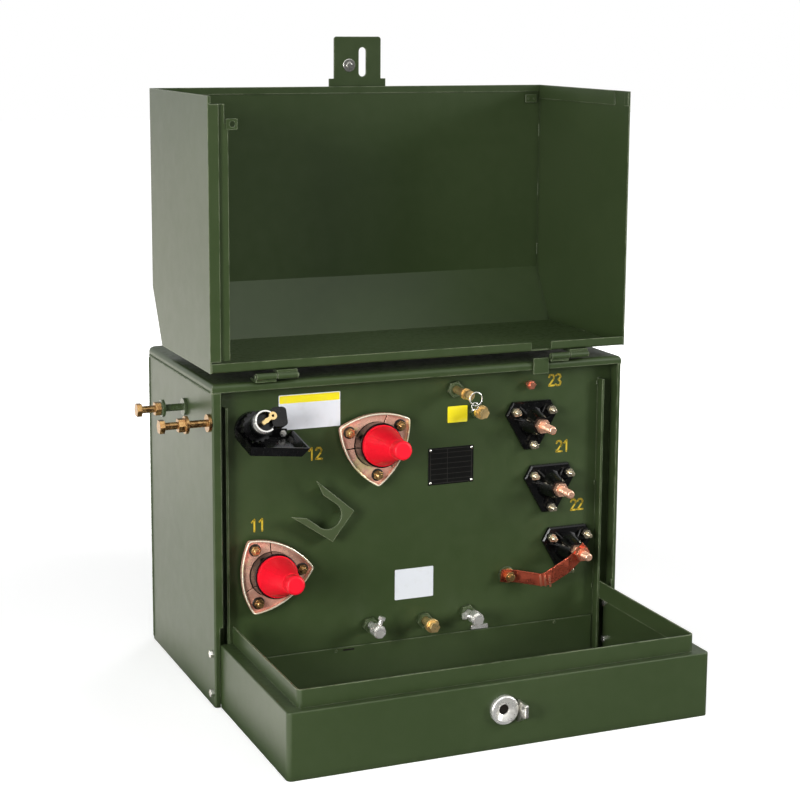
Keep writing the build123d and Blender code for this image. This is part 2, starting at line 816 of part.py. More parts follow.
def hv_cap():
    """Dust cap: a rim at its mouth, a long taper and a blunt round tip, on the well's tilted line."""
    step = hv_neck + hv_cap_cone
    tip = hv_neck + hv_cap_length
    rim = hv_neck + hv_cap_rim
    cap = turned((0, hv_neck), (hv_cap_radius, hv_neck), (hv_cap_radius, rim), (hv_cap_shoulder_radius, rim),
                 (hv_cap_step_radius, step), (hv_cap_tip_radius, step), (hv_cap_tip_radius, tip), (0, tip))
    end = [e for e in cap.edges().filter_by(GeomType.CIRCLE) if abs(e.center().Z - tip) < seat_clearance]
    return hv_axis() * fillet(end, hv_cap_round)


def hv_bolts(place):
    """Three studs from the plate through one clamp's corners, with their nuts."""
    bolt = stud_and_nut(hv_bolt_radius, hv_bolt_flats, hv_flange + hv_clamp_sheet, hv_bolt_nut, hv_bolt_tail)
    return [place * corner * bolt for corner in around(3, hv_bolt_circle_radius)]


# Low-voltage bushings
def lv_places():
    """Places of the bushings down the slanting row, as X and height."""
    last = tank_width * lv_last_x_share
    middle = tank_height * lv_middle_height_share
    return [(last - (lv_count - 1 - i) * lv_step_x, middle + (i - (lv_count - 1) / 2) * lv_step_height)
            for i in range(lv_count)]


def lv_bushing():
    """Moulded three-cornered bushing with cut-off corners, a tall tapered neck and a pad under each nut."""
    points = []
    for turn in (90.0, 210.0, 330.0):
        across = Vector(-sin(radians(turn)), cos(radians(turn)))
        tip = Vector(cos(radians(turn)), sin(radians(turn))) * lv_corner_reach
        points += [tip - across * lv_corner_half, tip + across * lv_corner_half]
    body = Rot(0, 0, 180) * prism([(p.X, p.Y) for p in points], lv_thickness)
    body = chamfer(body.faces().sort_by(Axis.Z)[-1].edges(), lv_edge)
    body += disc(lv_shank_radius, -tank_sheet, 0)
    body += Pos(0, 0, lv_thickness) * Cone(lv_boss_radius, lv_boss_tip_radius, lv_boss,
                                           align=(Align.CENTER, Align.CENTER, Align.MIN))
    for place in lv_bolt_places():
        body += place * disc(lv_bolt_pad_radius, 0, lv_thickness + lv_bolt_pad)
        body -= place * disc(lv_bolt_radius + seat_clearance, -overrun, lv_thickness + lv_bolt_pad + overrun)
    return body


def lv_bolt_places():
    """Places of one bushing's three clamping studs: two above and one below."""
    return around(3, lv_bolt_circle_radius, 30.0)


def lv_bolts(place):
    """The three clamping studs of one bushing, with their nuts."""
    bolt = stud_and_nut(lv_bolt_radius, lv_bolt_flats, lv_thickness + lv_bolt_pad, lv_bolt_nut, lv_bolt_tail)
    return [place * corner * bolt for corner in lv_bolt_places()]


def lv_stud():
    """Copper terminal stud with its jam nut on the bushing's neck."""
    seat = lv_thickness + lv_boss
    stud = disc(lv_stud_radius, seat, seat + lv_stud_length)
    stud = chamfer(stud.faces().sort_by(Axis.Z)[-1].edges(), lv_stud_chamfer)
    return stud + hexagon(lv_stud_nut_flats, seat, seat + lv_stud_nut)


# Ground strap
def strap_out():
    """How far the strap's upper end stands from the plate, on the stud's jam nut."""
    return lv_thickness + lv_boss + lv_stud_nut


def strap_end():
    """Place of the strap's lower end on the plate, down and left of the lowest stud."""
    x, height = lv_places()[-1]
    return x - strap_span, height - strap_fall


def ground_strap():
    """Copper strip from the lowest stud to the pad: its plan, cut from a sheet bent in profile."""
    x, height = lv_places()[-1]
    end_x, end_height = strap_end()
    start = Vector(x, height)
    finish = Vector(end_x, end_height)
    dip = Vector((x + end_x) / 2, end_height - strap_dip)
    out = (start - dip).normalized() * strap_end_overlap
    back = (finish - dip).normalized() * strap_end_overlap
    path = FilletPolyline(start + out, dip, finish + back, radius=strap_width)
    half = strap_width / 2
    band = make_face(offset(path, half, side=Side.LEFT)) + make_face(offset(path, half, side=Side.RIGHT))
    band -= Pos(x, height) * Circle(lv_stud_radius + strap_clearance)
    band -= Pos(end_x, end_height) * Circle(strap_bolt_radius + strap_clearance)
    plane = Plane(origin=(0, plate_y, 0), x_dir=(1, 0, 0), z_dir=(0, -1, 0))
    reach = strap_out() + strap_sheet
    plan = plane * extrude(band, reach + overrun)
    near = end_x + strap_end_overlap
    far = x - strap_bend_setback
    level = plate_y - strap_out()
    pad = plate_y - strap_pad
    bends = [(end_x - strap_width, pad), (near, pad), (far, level), (x + strap_width, level)]
    profile = make_face(offset(FilletPolyline(*bends, radius=strap_bend_radius), strap_sheet, side=Side.RIGHT))
    return plan & extrude(profile, tank_height)


def strap_fastening():
    """Pad welded on the plate, with the strap's stud and nut."""
    seat = strap_pad + strap_sheet
    pad = disc(strap_pad_radius, 0, strap_pad)
    stud = stud_and_nut(strap_bolt_radius, strap_bolt_flats, seat, strap_bolt_nut, strap_bolt_tail)
    return on_plate(*strap_end()) * (pad + stud)


def strap_nut():
    """Nut that holds the strap on the lowest stud."""
    x, height = lv_places()[-1]
    seat = strap_out() + strap_sheet
    nut = hexagon(lv_stud_nut_flats, seat, seat + lv_stud_nut)
    nut -= disc(lv_stud_radius + hinge_pin_clearance, seat - overrun, seat + lv_stud_nut + overrun)
    return on_plate(x, height) * nut


# Fuse holder
def fuse_axis():
    """Place of the fuse holder's tilted line, starting at its flange's face."""
    return on_plate(fuse_x, fuse_height) * Pos(0, 0, fuse_flange) * Rot(-fuse_tilt, 0, 0)


def fuse_latch():
    """Round-cornered latch block beside the barrel's end."""
    shape = RectangleRounded(fuse_latch_width, fuse_latch_rise, fuse_latch_corner)
    place = Pos(fuse_latch_near + fuse_latch_width / 2, fuse_latch_lift, fuse_end - fuse_latch_back)
    return place * extrude(shape, fuse_latch_back + fuse_latch_front)


def fuse_housing():
    """Fuse holder's housing: flange on the plate, fluted nut, barrel and latch block."""
    flange = disc(fuse_shank_radius, -tank_sheet, 0) + disc(fuse_flange_radius, 0, fuse_flange)
    body = on_plate(fuse_x, fuse_height) * flange
    barrel = disc(fuse_barrel_radius, -fuse_flange, fuse_end)
    nut = disc(fuse_nut_radius, fuse_nut_reach - fuse_nut, fuse_nut_reach)
    for place in around(fuse_nut_lobes, fuse_nut_radius):
        nut -= place * disc(fuse_nut_lobe_radius, fuse_nut_reach - fuse_nut - overrun, fuse_nut_reach + overrun)
    behind = block((-tank_width, tank_width), (plate_y, rear_y), (0, tank_height))
    return body + (fuse_axis() * (barrel + nut + fuse_latch()) - behind)


def fuse_collar():
    """Bright collar on the end of the barrel, open in front and parted where the latch block stands."""
    top = fuse_end + fuse_ring
    ring = disc(fuse_ring_radius, fuse_end, top)
    ring -= disc(fuse_ring_radius - fuse_ring_wall, fuse_end + fuse_ring_wall, top + overrun)
    span = fuse_ring_radius + overrun
    ring -= block((fuse_latch_near - seat_clearance, span), (-span, span), (fuse_end - overrun, top + overrun))
    return fuse_axis() * ring


def fuse_eye():
    """Key-shaped pulling eye on a post that stands in the collar."""
    level = fuse_end + fuse_latch_front + fuse_eye_clearance
    length = fuse_eye_tail + fuse_eye_reach
    lever = Pos((fuse_eye_reach - fuse_eye_tail) / 2, 0) * Rectangle(length, fuse_eye_width)
    lever += Pos(fuse_eye_reach, 0) * Circle(fuse_eye_head_radius)
    lever -= Pos(fuse_eye_reach, 0) * Circle(fuse_eye_hole_radius)
    key = Pos(0, 0, level) * Rot(0, 0, fuse_eye_turn) * extrude(lever, fuse_eye_sheet)
    post = disc(fuse_eye_post_radius, fuse_end + fuse_ring_wall, level + fuse_eye_sheet)
    return fuse_axis() * (key + post)


def drip_tray():
    """Sloping drip tray under the fuse holder, lower at its right end, with a tab on the plate."""
    left = fuse_x - tray_left_overhang
    low = fuse_height - tray_drop
    out = Vector(0, -cos(radians(tray_slope)), -sin(radians(tray_slope)))
    place = Plane(origin=(left, plate_y, low), x_dir=(1, 0, 0), z_dir=out) * Rot(0, 0, -tray_roll)
    right = tray_width + tray_end_lean
    rise = tray_lip - tray_sheet
    lean = tray_end_lean * rise / tray_lip
    section = [(0, 0), (tray_width, 0), (right, tray_lip), (right - tray_sheet, tray_lip),
               (right - tray_sheet - lean, tray_sheet), (tray_sheet, tray_sheet), (tray_sheet, tray_lip),
               (0, tray_lip)]
    lip = [(0, 0), (tray_width, 0), (right, tray_lip), (0, tray_lip)]
    tray = Pos(0, 0, -tray_lip) * prism(section, tray_reach + tray_lip)
    tray += Pos(0, 0, tray_reach - tray_sheet) * prism(lip, tray_sheet)
    tray = place * tray - block((-tank_width, tank_width), (plate_y, rear_y), (0, tank_height))
    tab = block((tray_width - tray_tab_width, tray_width), (0, tray_tab_rise), (0, tray_sheet))
    tray += on_plate(left, low, -tray_roll) * tab
    flange = disc(fuse_flange_radius + seat_clearance, -overrun, fuse_flange + seat_clearance)
    nut = disc(fuse_nut_radius + seat_clearance, -fuse_flange, fuse_nut_reach + seat_clearance)
    return tray - on_plate(fuse_x, fuse_height) * flange - fuse_axis() * nut


# Parking stand
def parking_stand():
    """Slotted face standing off the front plate on two side flanges, open at its upper left end."""
    arm, flare, slot = stand_arm_length, stand_flare_length, stand_slot_radius
    back, base, tip = stand_back_length, stand_base_half_width, stand_tip_half_width
    outline = make_face(Polyline((-back, -base), (arm, -tip), (arm, tip), (-back, base), close=True))
    mouth = make_face(Polyline((0, -slot), (flare, -slot), (arm, -tip), (arm, tip), (flare, slot), (0, slot),
                               close=True))
    face = outline - Circle(slot) - mouth
    body = Pos(0, 0, stand_depth - stand_sheet) * extrude(face, stand_sheet)
    lean = (tip - base) / (arm + back)
    end = stand_flange_length - back
    edge = base + lean * stand_flange_length
    for side in (-1, 1):
        strip = [(-back, side * base), (end, side * edge), (end, side * (edge - stand_sheet)),
                 (-back, side * (base - stand_sheet))]
        body += prism(strip, stand_depth - stand_sheet)
    return on_plate(tank_width * stand_x_share, tank_height * stand_height_share, stand_turn) * body


# Small fittings
def relief_valve():
    """Pressure relief valve: a stem with a flange, a hexagon and a front disc."""
    hexed = valve_flange_reach + valve_flange
    front = hexed + valve_hex
    body = disc(valve_radius, 0, front) + disc(valve_flange_radius, valve_flange_reach, hexed)
    body += hexagon(valve_hex_flats, hexed, front)
    return valve_place() * (body + disc(valve_disc_radius, front, front + valve_disc))


def valve_place():
    """Place of the relief valve on the plate."""
    return on_plate(tank_width * valve_x_share, tank_height - valve_drop)


def valve_pull():
    """Pull ring at the lower right of the relief valve's front disc, seen flat from the front."""
    front = valve_flange_reach + valve_flange + valve_hex + valve_disc
    place = valve_place() * Pos(valve_pull_right, -valve_pull_drop, front + valve_pull_wire)
    return place * Torus(valve_pull_radius, valve_pull_wire)


def threaded_plug(x, height, reach):
    """Plug on a stem, with a collar and a hexagon end."""
    collar = reach - plug_hex
    body = disc(plug_radius, 0, collar) + disc(plug_collar_radius, collar - plug_collar, collar)
    return on_plate(x, height) * (body + hexagon(plug_hex_flats, collar, reach))


def ground_connector(x, turn):
    """Ground connector: a stem, a round body with a wire hole, a nut and a screw."""
    start = connector_body_start
    end = start + connector_body
    body = disc(connector_stem_radius, 0, start) + disc(connector_body_radius, start, end)
    body += hexagon(connector_nut_flats, end, end + connector_nut)
    middle = Pos(0, 0, (start + end) / 2)
    hole = disc(connector_slot_radius, -connector_body_radius - overrun, connector_body_radius + overrun)
    body -= middle * Rot(0, 90, 0) * hole
    rise = connector_body_radius + connector_bolt_rise
    screw = disc(connector_bolt_radius, connector_slot_radius, rise)
    screw += hexagon(connector_bolt_flats, rise, rise + connector_bolt_head)
    body += middle * Rot(-90, 0, 0) * screw
    return on_plate(x, connector_height, turn) * body


def boss(radius, height, stem):
    """Round boss welded on the plate, with room for the stem that stands in it."""
    return disc(radius, 0, height) - disc(stem + seat_clearance, -overrun, height + overrun)


def plate_bosses():
    """Bosses of the relief valve, the two plugs and the two ground connectors."""
    plug = boss(plug_boss_radius, plug_boss, plug_radius)
    connector = boss(connector_boss_radius, connector_boss, connector_stem_radius)
    bosses = [valve_place() * boss(valve_boss_radius, valve_boss, valve_radius),
              on_plate(tank_width * plug_x_share, tank_height - plug_drop) * plug,
              on_plate(tank_width * drain_x_share, drain_height) * plug]
    return many(bosses + [on_plate(tank_width * share, connector_height) * connector
                          for share in connector_x_shares])


def earth_bolt():
    """Spare bolt midway between the cover's edge and the top bushing."""
    bolt = disc(earth_bolt_radius, 0, earth_bolt_reach)
    bolt += hexagon(earth_bolt_flats, earth_bolt_head, 2 * earth_bolt_head)
    top = lv_places()[0][1] + lv_corner_reach * sin(radians(30)) + lv_corner_half * cos(radians(30))
    height = (tank_height - cover_skirt + top) / 2
    return on_plate(tank_width * earth_bolt_x_share, height) * bolt


def data_plate():
    """Bare data plate on the front plate."""
    plate = Box(data_plate_width, data_plate_rise, data_plate_sheet,
                align=(Align.CENTER, Align.CENTER, Align.MIN))
    return on_plate(tank_width * data_plate_x_share, tank_height * data_plate_height_share) * plate


left_wall, right_wall, rear_wall = tank_walls()
hv_upper = on_plate(hv_upper_x, hv_upper_height)
hv_lower = on_plate(hv_lower_x, hv_lower_height)
hv_upper_corners = hv_upper * Rot(0, 0, hv_upper_turn)
hv_lower_corners = hv_lower * Rot(0, 0, hv_lower_turn)
lv_bases = [on_plate(x, height) for x, height in lv_places()]
lv_names = ("top", "middle", "bottom")

nodes = {
    "tank_floor": tank_floor(),
    "tank_left_wall": left_wall,
    "tank_right_wall": right_wall,
    "tank_rear_wall": rear_wall,
    "tank_cover": tank_cover(),
    "tank_front_plate": front_plate(),
    "lower_skirt": lower_skirt(),
    "core_and_oil": core_and_oil(),
    "sill": sill(),
    "sill_bolts": sill_bolts(),
    "lock_disc": lock_disc(),
    "lock_eye": lock_eye(),
    "lifting_bolts": lifting_bolts(),
    "hood_wrapper": hood_wrapper(),
    "hood_left_side": hood_left_side(),
    "hood_right_side": hood_right_side(),
    "hood_catch": hood_catch(),
    "tank_hinge_leaves": at_hinges(tank_hinge_leaf()),
    "hood_hinge_leaves": at_hinges(hood_hinge_leaf()),
    "hinge_pins": at_hinges(hinge_pin()),
    "hasp_plate": hasp_plate(),
    "hasp_bolt": hasp_bolt(),
    "hv_upper_well": hv_upper * hv_well(),
    "hv_upper_clamp": hv_upper_corners * hv_clamp(hv_upper_slit_turn),
    "hv_upper_cap": hv_upper * hv_cap(),
    "hv_lower_well": hv_lower * hv_well(),
    "hv_lower_clamp": hv_lower_corners * hv_clamp(hv_lower_slit_turn),
    "hv_lower_cap": hv_lower * hv_cap(),
    "hv_clamp_bolts": many(hv_bolts(hv_upper_corners) + hv_bolts(hv_lower_corners)),
    "lv_studs": many(base * lv_stud() for base in lv_bases),
    "lv_clamp_bolts": many(bolt for base in lv_bases for bolt in lv_bolts(base)),
    "ground_strap": ground_strap(),
    "strap_fastening": strap_fastening(),
    "strap_nut": strap_nut(),
    "fuse_housing": fuse_housing(),
    "fuse_collar": fuse_collar(),
    "fuse_eye": fuse_eye(),
    "drip_tray": drip_tray(),
    "parking_stand": parking_stand(),
    "plate_bosses": plate_bosses(),
    "relief_valve": relief_valve(),
    "valve_pull": valve_pull(),
    "fill_plug": threaded_plug(tank_width * plug_x_share, tank_height - plug_drop, plug_reach),
    "drain_plug": threaded_plug(tank_width * drain_x_share, drain_height, drain_reach),
    "ground_connectors": many(ground_connector(tank_width * share, turn)
                              for share, turn in zip(connector_x_shares, connector_turns)),
    "earth_bolt": earth_bolt(),
    "data_plate": data_plate(),
}
for name, base in zip(lv_names, lv_bases):
    nodes["lv_" + name + "_bushing"] = base * lv_bushing()

for name, shape in nodes.items():
    export_step(shape, "parts/" + name + ".step")
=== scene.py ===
"""Dresses a pad-mounted distribution transformer, hood swung open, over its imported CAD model."""
import json
import logging
import math
import random
from dataclasses import dataclass
from enum import Enum
from typing import Any, Optional, Sequence, Union

import bmesh
import bpy
from mathutils import Matrix, Vector


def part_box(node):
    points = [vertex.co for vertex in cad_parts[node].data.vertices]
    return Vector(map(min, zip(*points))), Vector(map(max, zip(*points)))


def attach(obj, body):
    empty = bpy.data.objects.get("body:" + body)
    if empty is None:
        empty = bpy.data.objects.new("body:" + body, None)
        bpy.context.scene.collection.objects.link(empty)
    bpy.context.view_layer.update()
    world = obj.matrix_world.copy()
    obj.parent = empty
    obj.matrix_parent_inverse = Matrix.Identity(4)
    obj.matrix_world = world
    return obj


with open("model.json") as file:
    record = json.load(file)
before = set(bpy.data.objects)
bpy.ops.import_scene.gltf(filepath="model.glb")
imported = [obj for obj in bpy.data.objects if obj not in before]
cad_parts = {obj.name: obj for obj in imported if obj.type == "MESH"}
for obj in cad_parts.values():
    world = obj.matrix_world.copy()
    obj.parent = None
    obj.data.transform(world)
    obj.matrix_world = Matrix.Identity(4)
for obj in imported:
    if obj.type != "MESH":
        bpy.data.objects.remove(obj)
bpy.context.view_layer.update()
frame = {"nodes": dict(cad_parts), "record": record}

log = logging.getLogger("transformer")

MM = 0.001
PLATE_Y = -193.0

Colour = tuple[float, float, float]
Point = tuple[float, float, float]
Pair = tuple[float, float]
Pairs = tuple[Pair, ...]
Quad = tuple[float, float, float, float]
Values = tuple[float, ...]
Finish = bpy.types.Material
Setting = Union["Wire", float, Sequence[float], str]


class Body(Enum):
    """The two bodies that pieces ride on."""

    TANK = "tank"
    HOOD = "hood"


class Slot(Enum):
    """The record's material slots."""

    GREEN_PAINT = "green_paint"
    ZINC_STEEL = "zinc_steel"
    GOLD_ZINC = "gold_zinc"
    RED_CAP = "red_cap"
    BLACK_MOULDING = "black_moulding"
    COPPER = "copper"
    BRASS = "brass"
    DATA_PLATE = "data_plate"
    CORE_AND_OIL = "core_and_oil"


class Wire:
    """An output of a node, with arithmetic that adds Math nodes behind it."""

    def __init__(self, shader: "Shader", socket: bpy.types.NodeSocket) -> None:
        """Keeps the socket and the shader that it belongs to."""
        self.shader = shader
        self.socket = socket

    def __add__(self, other: Setting) -> "Wire":
        """Adds a value."""
        return self.shader.maths("ADD", self, other)

    def __radd__(self, other: Setting) -> "Wire":
        """Adds to a value."""
        return self.shader.maths("ADD", other, self)

    def __sub__(self, other: Setting) -> "Wire":
        """Takes a value away."""
        return self.shader.maths("SUBTRACT", self, other)

    def __rsub__(self, other: Setting) -> "Wire":
        """Is taken away from a value."""
        return self.shader.maths("SUBTRACT", other, self)

    def __mul__(self, other: Setting) -> "Wire":
        """Multiplies by a value."""
        return self.shader.maths("MULTIPLY", self, other)

    def __truediv__(self, other: Setting) -> "Wire":
        """Divides by a value."""
        return self.shader.maths("DIVIDE", self, other)

    def __gt__(self, other: Setting) -> "Wire":
        """Is one where this is above the value."""
        return self.shader.maths("GREATER_THAN", self, other)

    def __abs__(self) -> "Wire":
        """Drops the sign."""
        return self.shader.maths("ABSOLUTE", self)

    def __mod__(self, other: float) -> "Wire":
        """Wraps into the range from zero to the value."""
        return self.shader.maths("FLOORED_MODULO", self, other)


class Shader:
    """The node tree of one finish, or of the world."""

    def __init__(self, name: str, of_world: bool = False) -> None:
        """Starts the empty tree of a new material or world."""
        made = bpy.data.worlds if of_world else bpy.data.materials
        self.owner = made.new(name)
        self.owner.use_nodes = True
        self.tree = self.owner.node_tree
        self.tree.nodes.clear()
        self.of_world = of_world

    def node(self, kind: str, settings: Optional[dict[str, Any]] = None,
             inputs: Optional[dict[Union[str, int], Setting]] = None, output: Union[str, int] = 0) -> Wire:
        """Adds a node.

        Args:
            kind: The node's type.
            settings: Its own settings, set before the sockets; "stops" gives a ramp's places and colours.
            inputs: Values or wires for its sockets.
            output: The output that is handed back.

        Returns:
            That output, empty for a node that ends the tree.
        """
        made = self.tree.nodes.new(kind)
        for key, value in (settings or {}).items():
            if key == "stops":
                elements = made.color_ramp.elements
                while len(elements) < len(value):
                    elements.new(0.5)
                for element, (place, colour) in zip(elements, value):
                    element.position = place
                    element.color = (*colour, 1.0)
            else:
                setattr(made, key, value)
        for key, value in (inputs or {}).items():
            if isinstance(value, Wire):
                self.tree.links.new(value.socket, made.inputs[key])
            else:
                made.inputs[key].default_value = value
        return Wire(self, made.outputs[output] if made.outputs else None)

    def maths(self, operation: str, *values: Setting) -> Wire:
        """Adds a Math node on the values."""
        return self.node("ShaderNodeMath", {"operation": operation}, dict(enumerate(values)))

    def place(self) -> Wire:
        """Gives the place on the object in metres, or the direction in the world's tree."""
        return self.node("ShaderNodeTexCoord", output="Generated" if self.of_world else "Object")

    def axis(self, name: str) -> Wire:
        """Gives one coordinate of the place, X, Y or Z."""
        return self.node("ShaderNodeSeparateXYZ", inputs={0: self.place()}, output=name)

    def facing(self, name: str) -> Wire:
        """Gives one coordinate of the surface's normal."""
        normal = self.node("ShaderNodeNewGeometry", output="Normal")
        return self.node("ShaderNodeSeparateXYZ", inputs={0: normal}, output=name)

    def ray(self, name: str) -> Wire:
        """Is one for rays of the named kind."""
        return self.node("ShaderNodeLightPath", output="Is %s Ray" % name)

    def noise(self, scale: float, detail: float = 3.0, stretch: Point = (1.0, 1.0, 1.0),
              roughness: float = 0.5) -> Wire:
        """Gives a cloudy pattern.

        Args:
            scale: Patches to the metre.
            detail: Finer layers in it.
            stretch: Factors on the place along each axis.
            roughness: Weight of the finer layers.

        Returns:
            The pattern, about one half on average.
        """
        where = self.node("ShaderNodeVectorMath", {"operation": "MULTIPLY"}, {0: self.place(), 1: stretch})
        return self.node("ShaderNodeTexNoise", inputs={
            "Vector": where, "Scale": scale, "Detail": detail, "Roughness": roughness})

    def step(self, value: Wire, low: float, high: float) -> Wire:
        """Rises smoothly from zero at low to one at high."""
        return self.node("ShaderNodeMapRange", {"interpolation_type": "SMOOTHSTEP"}, {
            "Value": value, "From Min": low, "From Max": high})

    def blend(self, factor: Setting, first: Setting, second: Setting) -> Wire:
        """Mixes two colours by a factor."""
        wide = [value if isinstance(value, Wire) else (*value, 1.0) for value in (first, second)]
        return self.node("ShaderNodeMix", {"data_type": "RGBA"}, {0: factor, 6: wide[0], 7: wide[1]}, 2)

    def ramp(self, value: Wire, stops: Sequence[tuple[float, Colour]]) -> Wire:
        """Turns a value into a colour between stops."""
        return self.node("ShaderNodeValToRGB", {"stops": stops}, {0: value})

    def bump(self, height: Wire, strength: float, depth_mm: float) -> Wire:
        """Gives a normal that follows a height pattern."""
        return self.node("ShaderNodeBump", inputs={
            "Strength": strength, "Distance": depth_mm * MM, "Height": height})

    def surface(self, **inputs: Setting) -> Finish:
        """Ends the tree in a Principled shader.

        Args:
            inputs: Its sockets, with an underscore for each space.

        Returns:
            The material.
        """
        sockets = {}
        for key, value in inputs.items():
            socket = key.replace("_", " ").replace("IOR level", "IOR Level")
            sockets[socket] = (*value, 1.0) if isinstance(value, tuple) else value
        return self.end(self.node("ShaderNodeBsdfPrincipled", inputs=sockets))

    def end(self, shaded: Wire) -> Union[Finish, bpy.types.World]:
        """Links a shader to the tree's output and gives the tree's owner."""
        self.node("ShaderNodeOutputWorld" if self.of_world else "ShaderNodeOutputMaterial",
                  inputs={"Surface": shaded})
        return self.owner


@dataclass(frozen=True)
class GreenPaint:
    """Semi-gloss olive enamel over sheet steel, with orange peel, dust, painted shade darkening its hollows,
    and edges lightened partly by wear and partly as a painted highlight.
    """

    colour: Colour = (0.036, 0.058, 0.019)
    pale: Colour = (0.054, 0.078, 0.031)
    dust: Colour = (0.16, 0.16, 0.12)
    # Near-black green painted into hollows as shade.
    grime_and_shade: Colour = (0.008, 0.011, 0.005)
    # Pale green painted along outer edges, partly wear and partly a painted highlight.
    edge: Colour = (0.34, 0.38, 0.25)
    hollow_reach: float = 0.03
    edge_radius: float = 0.003
    name: str = "green_enamel"

    def mix(self, s: Shader) -> tuple[Wire, Wire, Wire]:
        """Gives the paint's colour, roughness and normal in a tree."""
        cloud = s.noise(38.0, 3.0)
        tone = s.step(s.noise(2.6, 4.0) * 0.7 + cloud * 0.3, 0.34, 0.7)
        painted = s.blend(tone * 0.5, self.colour, self.pale)
        level = s.step(s.facing("Z"), 0.6, 0.98)
        settled = level * s.step(s.noise(95.0, 4.0), 0.42, 0.72) * 0.12
        rub = s.step(s.noise(60.0, 2.0, (1.0, 1.0, 14.0)), 0.71, 0.8) * s.step(s.noise(7.0, 2.0), 0.5, 0.62)
        dusted = s.blend(settled + rub * 0.12, painted, self.dust)
        # Painted shade: where ambient occlusion finds a hollow, the colour is darkened towards near black.
        hollow = s.node("ShaderNodeAmbientOcclusion", {"samples": 4}, {"Distance": self.hollow_reach}, "AO")
        hollow_shaded = s.blend(s.step(hollow, 0.62, 0.2) * 0.75, dusted, self.grime_and_shade)
        # Outer edges found with a bevel normal are lightened: partly wear, partly a painted highlight along
        # the rounded edge.
        rounded = s.node("ShaderNodeBevel", {"samples": 4}, {"Radius": self.edge_radius})
        flat = s.node("ShaderNodeNewGeometry", output="Normal")
        turned = s.node("ShaderNodeVectorMath", {"operation": "DOT_PRODUCT"}, {0: rounded, 1: flat}, "Value")
        worn_and_lit_edges = s.step(turned, 0.99, 0.88) * s.step(hollow, 0.6, 0.9) * s.step(cloud, 0.25, 0.6)
        colour = s.blend(worn_and_lit_edges * 0.7, hollow_shaded, self.edge)
        peel = s.noise(520.0, 2.0) * 0.85 + s.noise(2100.0, 1.0) * 0.15
        return colour, 0.3 + cloud * 0.1 + settled * 1.2 + rub * 0.25, s.bump(peel, 0.16, 0.25)

    def make(self) -> Finish:
        """Builds the material."""
        s = Shader(self.name)
        colour, rough, normal = self.mix(s)
        return s.surface(Base_Color=colour, Roughness=rough, Normal=normal, Specular_IOR_level=0.34)


@dataclass(frozen=True)
class ZincSteel:
    """Zinc-plated steel with a fine spangle and dull patches."""

    name: str = "zinc_plate"
    bright: Colour = (0.86, 0.85, 0.8)
    dull: Colour = (0.6, 0.58, 0.53)
    roughness: float = 0.18
    metallic: float = 0.95

    def make(self) -> Finish:
        """Builds the material."""
        s = Shader(self.name)
        spangle = s.node("ShaderNodeTexVoronoi", inputs={"Vector": s.place(), "Scale": 420.0}, output="Color")
        grain = s.node("ShaderNodeSeparateXYZ", inputs={0: spangle}, output="X")
        mask = s.step(s.noise(45.0, 2.0) * 0.92 + grain * 0.08, 0.34, 0.76)
        rough = self.roughness + mask * 0.2
        return s.surface(Base_Color=s.blend(mask, self.bright, self.dull), Roughness=rough,
                         Metallic=self.metallic, Normal=s.bump(s.noise(400.0, 1.0), 0.05, 0.1))


@dataclass(frozen=True)
class GoldZinc:
    """Yellow-passivated zinc whose film turns from rose to cream."""

    name: str = "passivated_zinc"
    tints: tuple[Colour, Colour, Colour] = ((0.83, 0.37, 0.27), (0.94, 0.52, 0.39), (0.97, 0.76, 0.4))
    stain: Colour = (0.25, 0.14, 0.07)
    metallic: float = 0.42

    def make(self) -> Finish:
        """Builds the material."""
        s = Shader(self.name)
        film = s.noise(17.0, 3.0) * 0.75 + s.noise(130.0, 3.0) * 0.25
        rose, pink, cream = self.tints
        colour = s.ramp(film, ((0.34, rose), (0.46, pink), (0.54, pink), (0.64, cream)))
        spot = s.step(s.noise(330.0, 2.0), 0.62, 0.74)
        rough = 0.2 + spot * 0.15 + film * 0.14
        return s.surface(Base_Color=s.blend(spot * 0.35, colour, self.stain), Roughness=rough,
                         Metallic=self.metallic, Normal=s.bump(s.noise(160.0, 2.0), 0.15, 0.4))


@dataclass(frozen=True)
class LiftingBolts:
    """Bronze-coloured bolts, the rear one overpainted from the wall to its washer."""

    paint: GreenPaint = GreenPaint()
    bronze: Colour = (0.23, 0.12, 0.045)
    pale: Colour = (0.4, 0.25, 0.1)
    painted_behind: float = -0.13
    painted_to: float = -0.4825

    def make(self) -> Finish:
        """Builds the material."""
        s = Shader("lifting_bolt_film")
        colour, _, _ = self.paint.mix(s)
        film = s.step(s.noise(150.0, 3.0), 0.35, 0.7)
        covered = (s.axis("Y") > self.painted_behind) * (s.axis("X") > self.painted_to)
        return s.surface(Base_Color=s.blend(covered, s.blend(film, self.bronze, self.pale), colour),
                         Metallic=0.95 - covered * 0.95, Roughness=0.2 + film * 0.15)


@dataclass(frozen=True)
class RedCap:
    """Soft red vinyl of the dust caps, faintly mottled."""

    colour: Colour = (0.94, 0.006, 0.024)
    deep: Colour = (0.72, 0.004, 0.014)

    def make(self) -> Finish:
        """Builds the material."""
        s = Shader("red_vinyl")
        mottle = s.noise(60.0, 3.0)
        scuff = s.step(s.noise(260.0, 3.0, (1.0, 0.2, 1.0)), 0.62, 0.74)
        colour = s.blend(s.step(mottle, 0.4, 0.75) * 0.3, self.colour, self.deep)
        return s.surface(Base_Color=colour, Roughness=0.36 + scuff * 0.16 + mottle * 0.08,
                         Normal=s.bump(s.noise(700.0, 2.0), 0.1, 0.2), Specular_IOR_level=0.3)


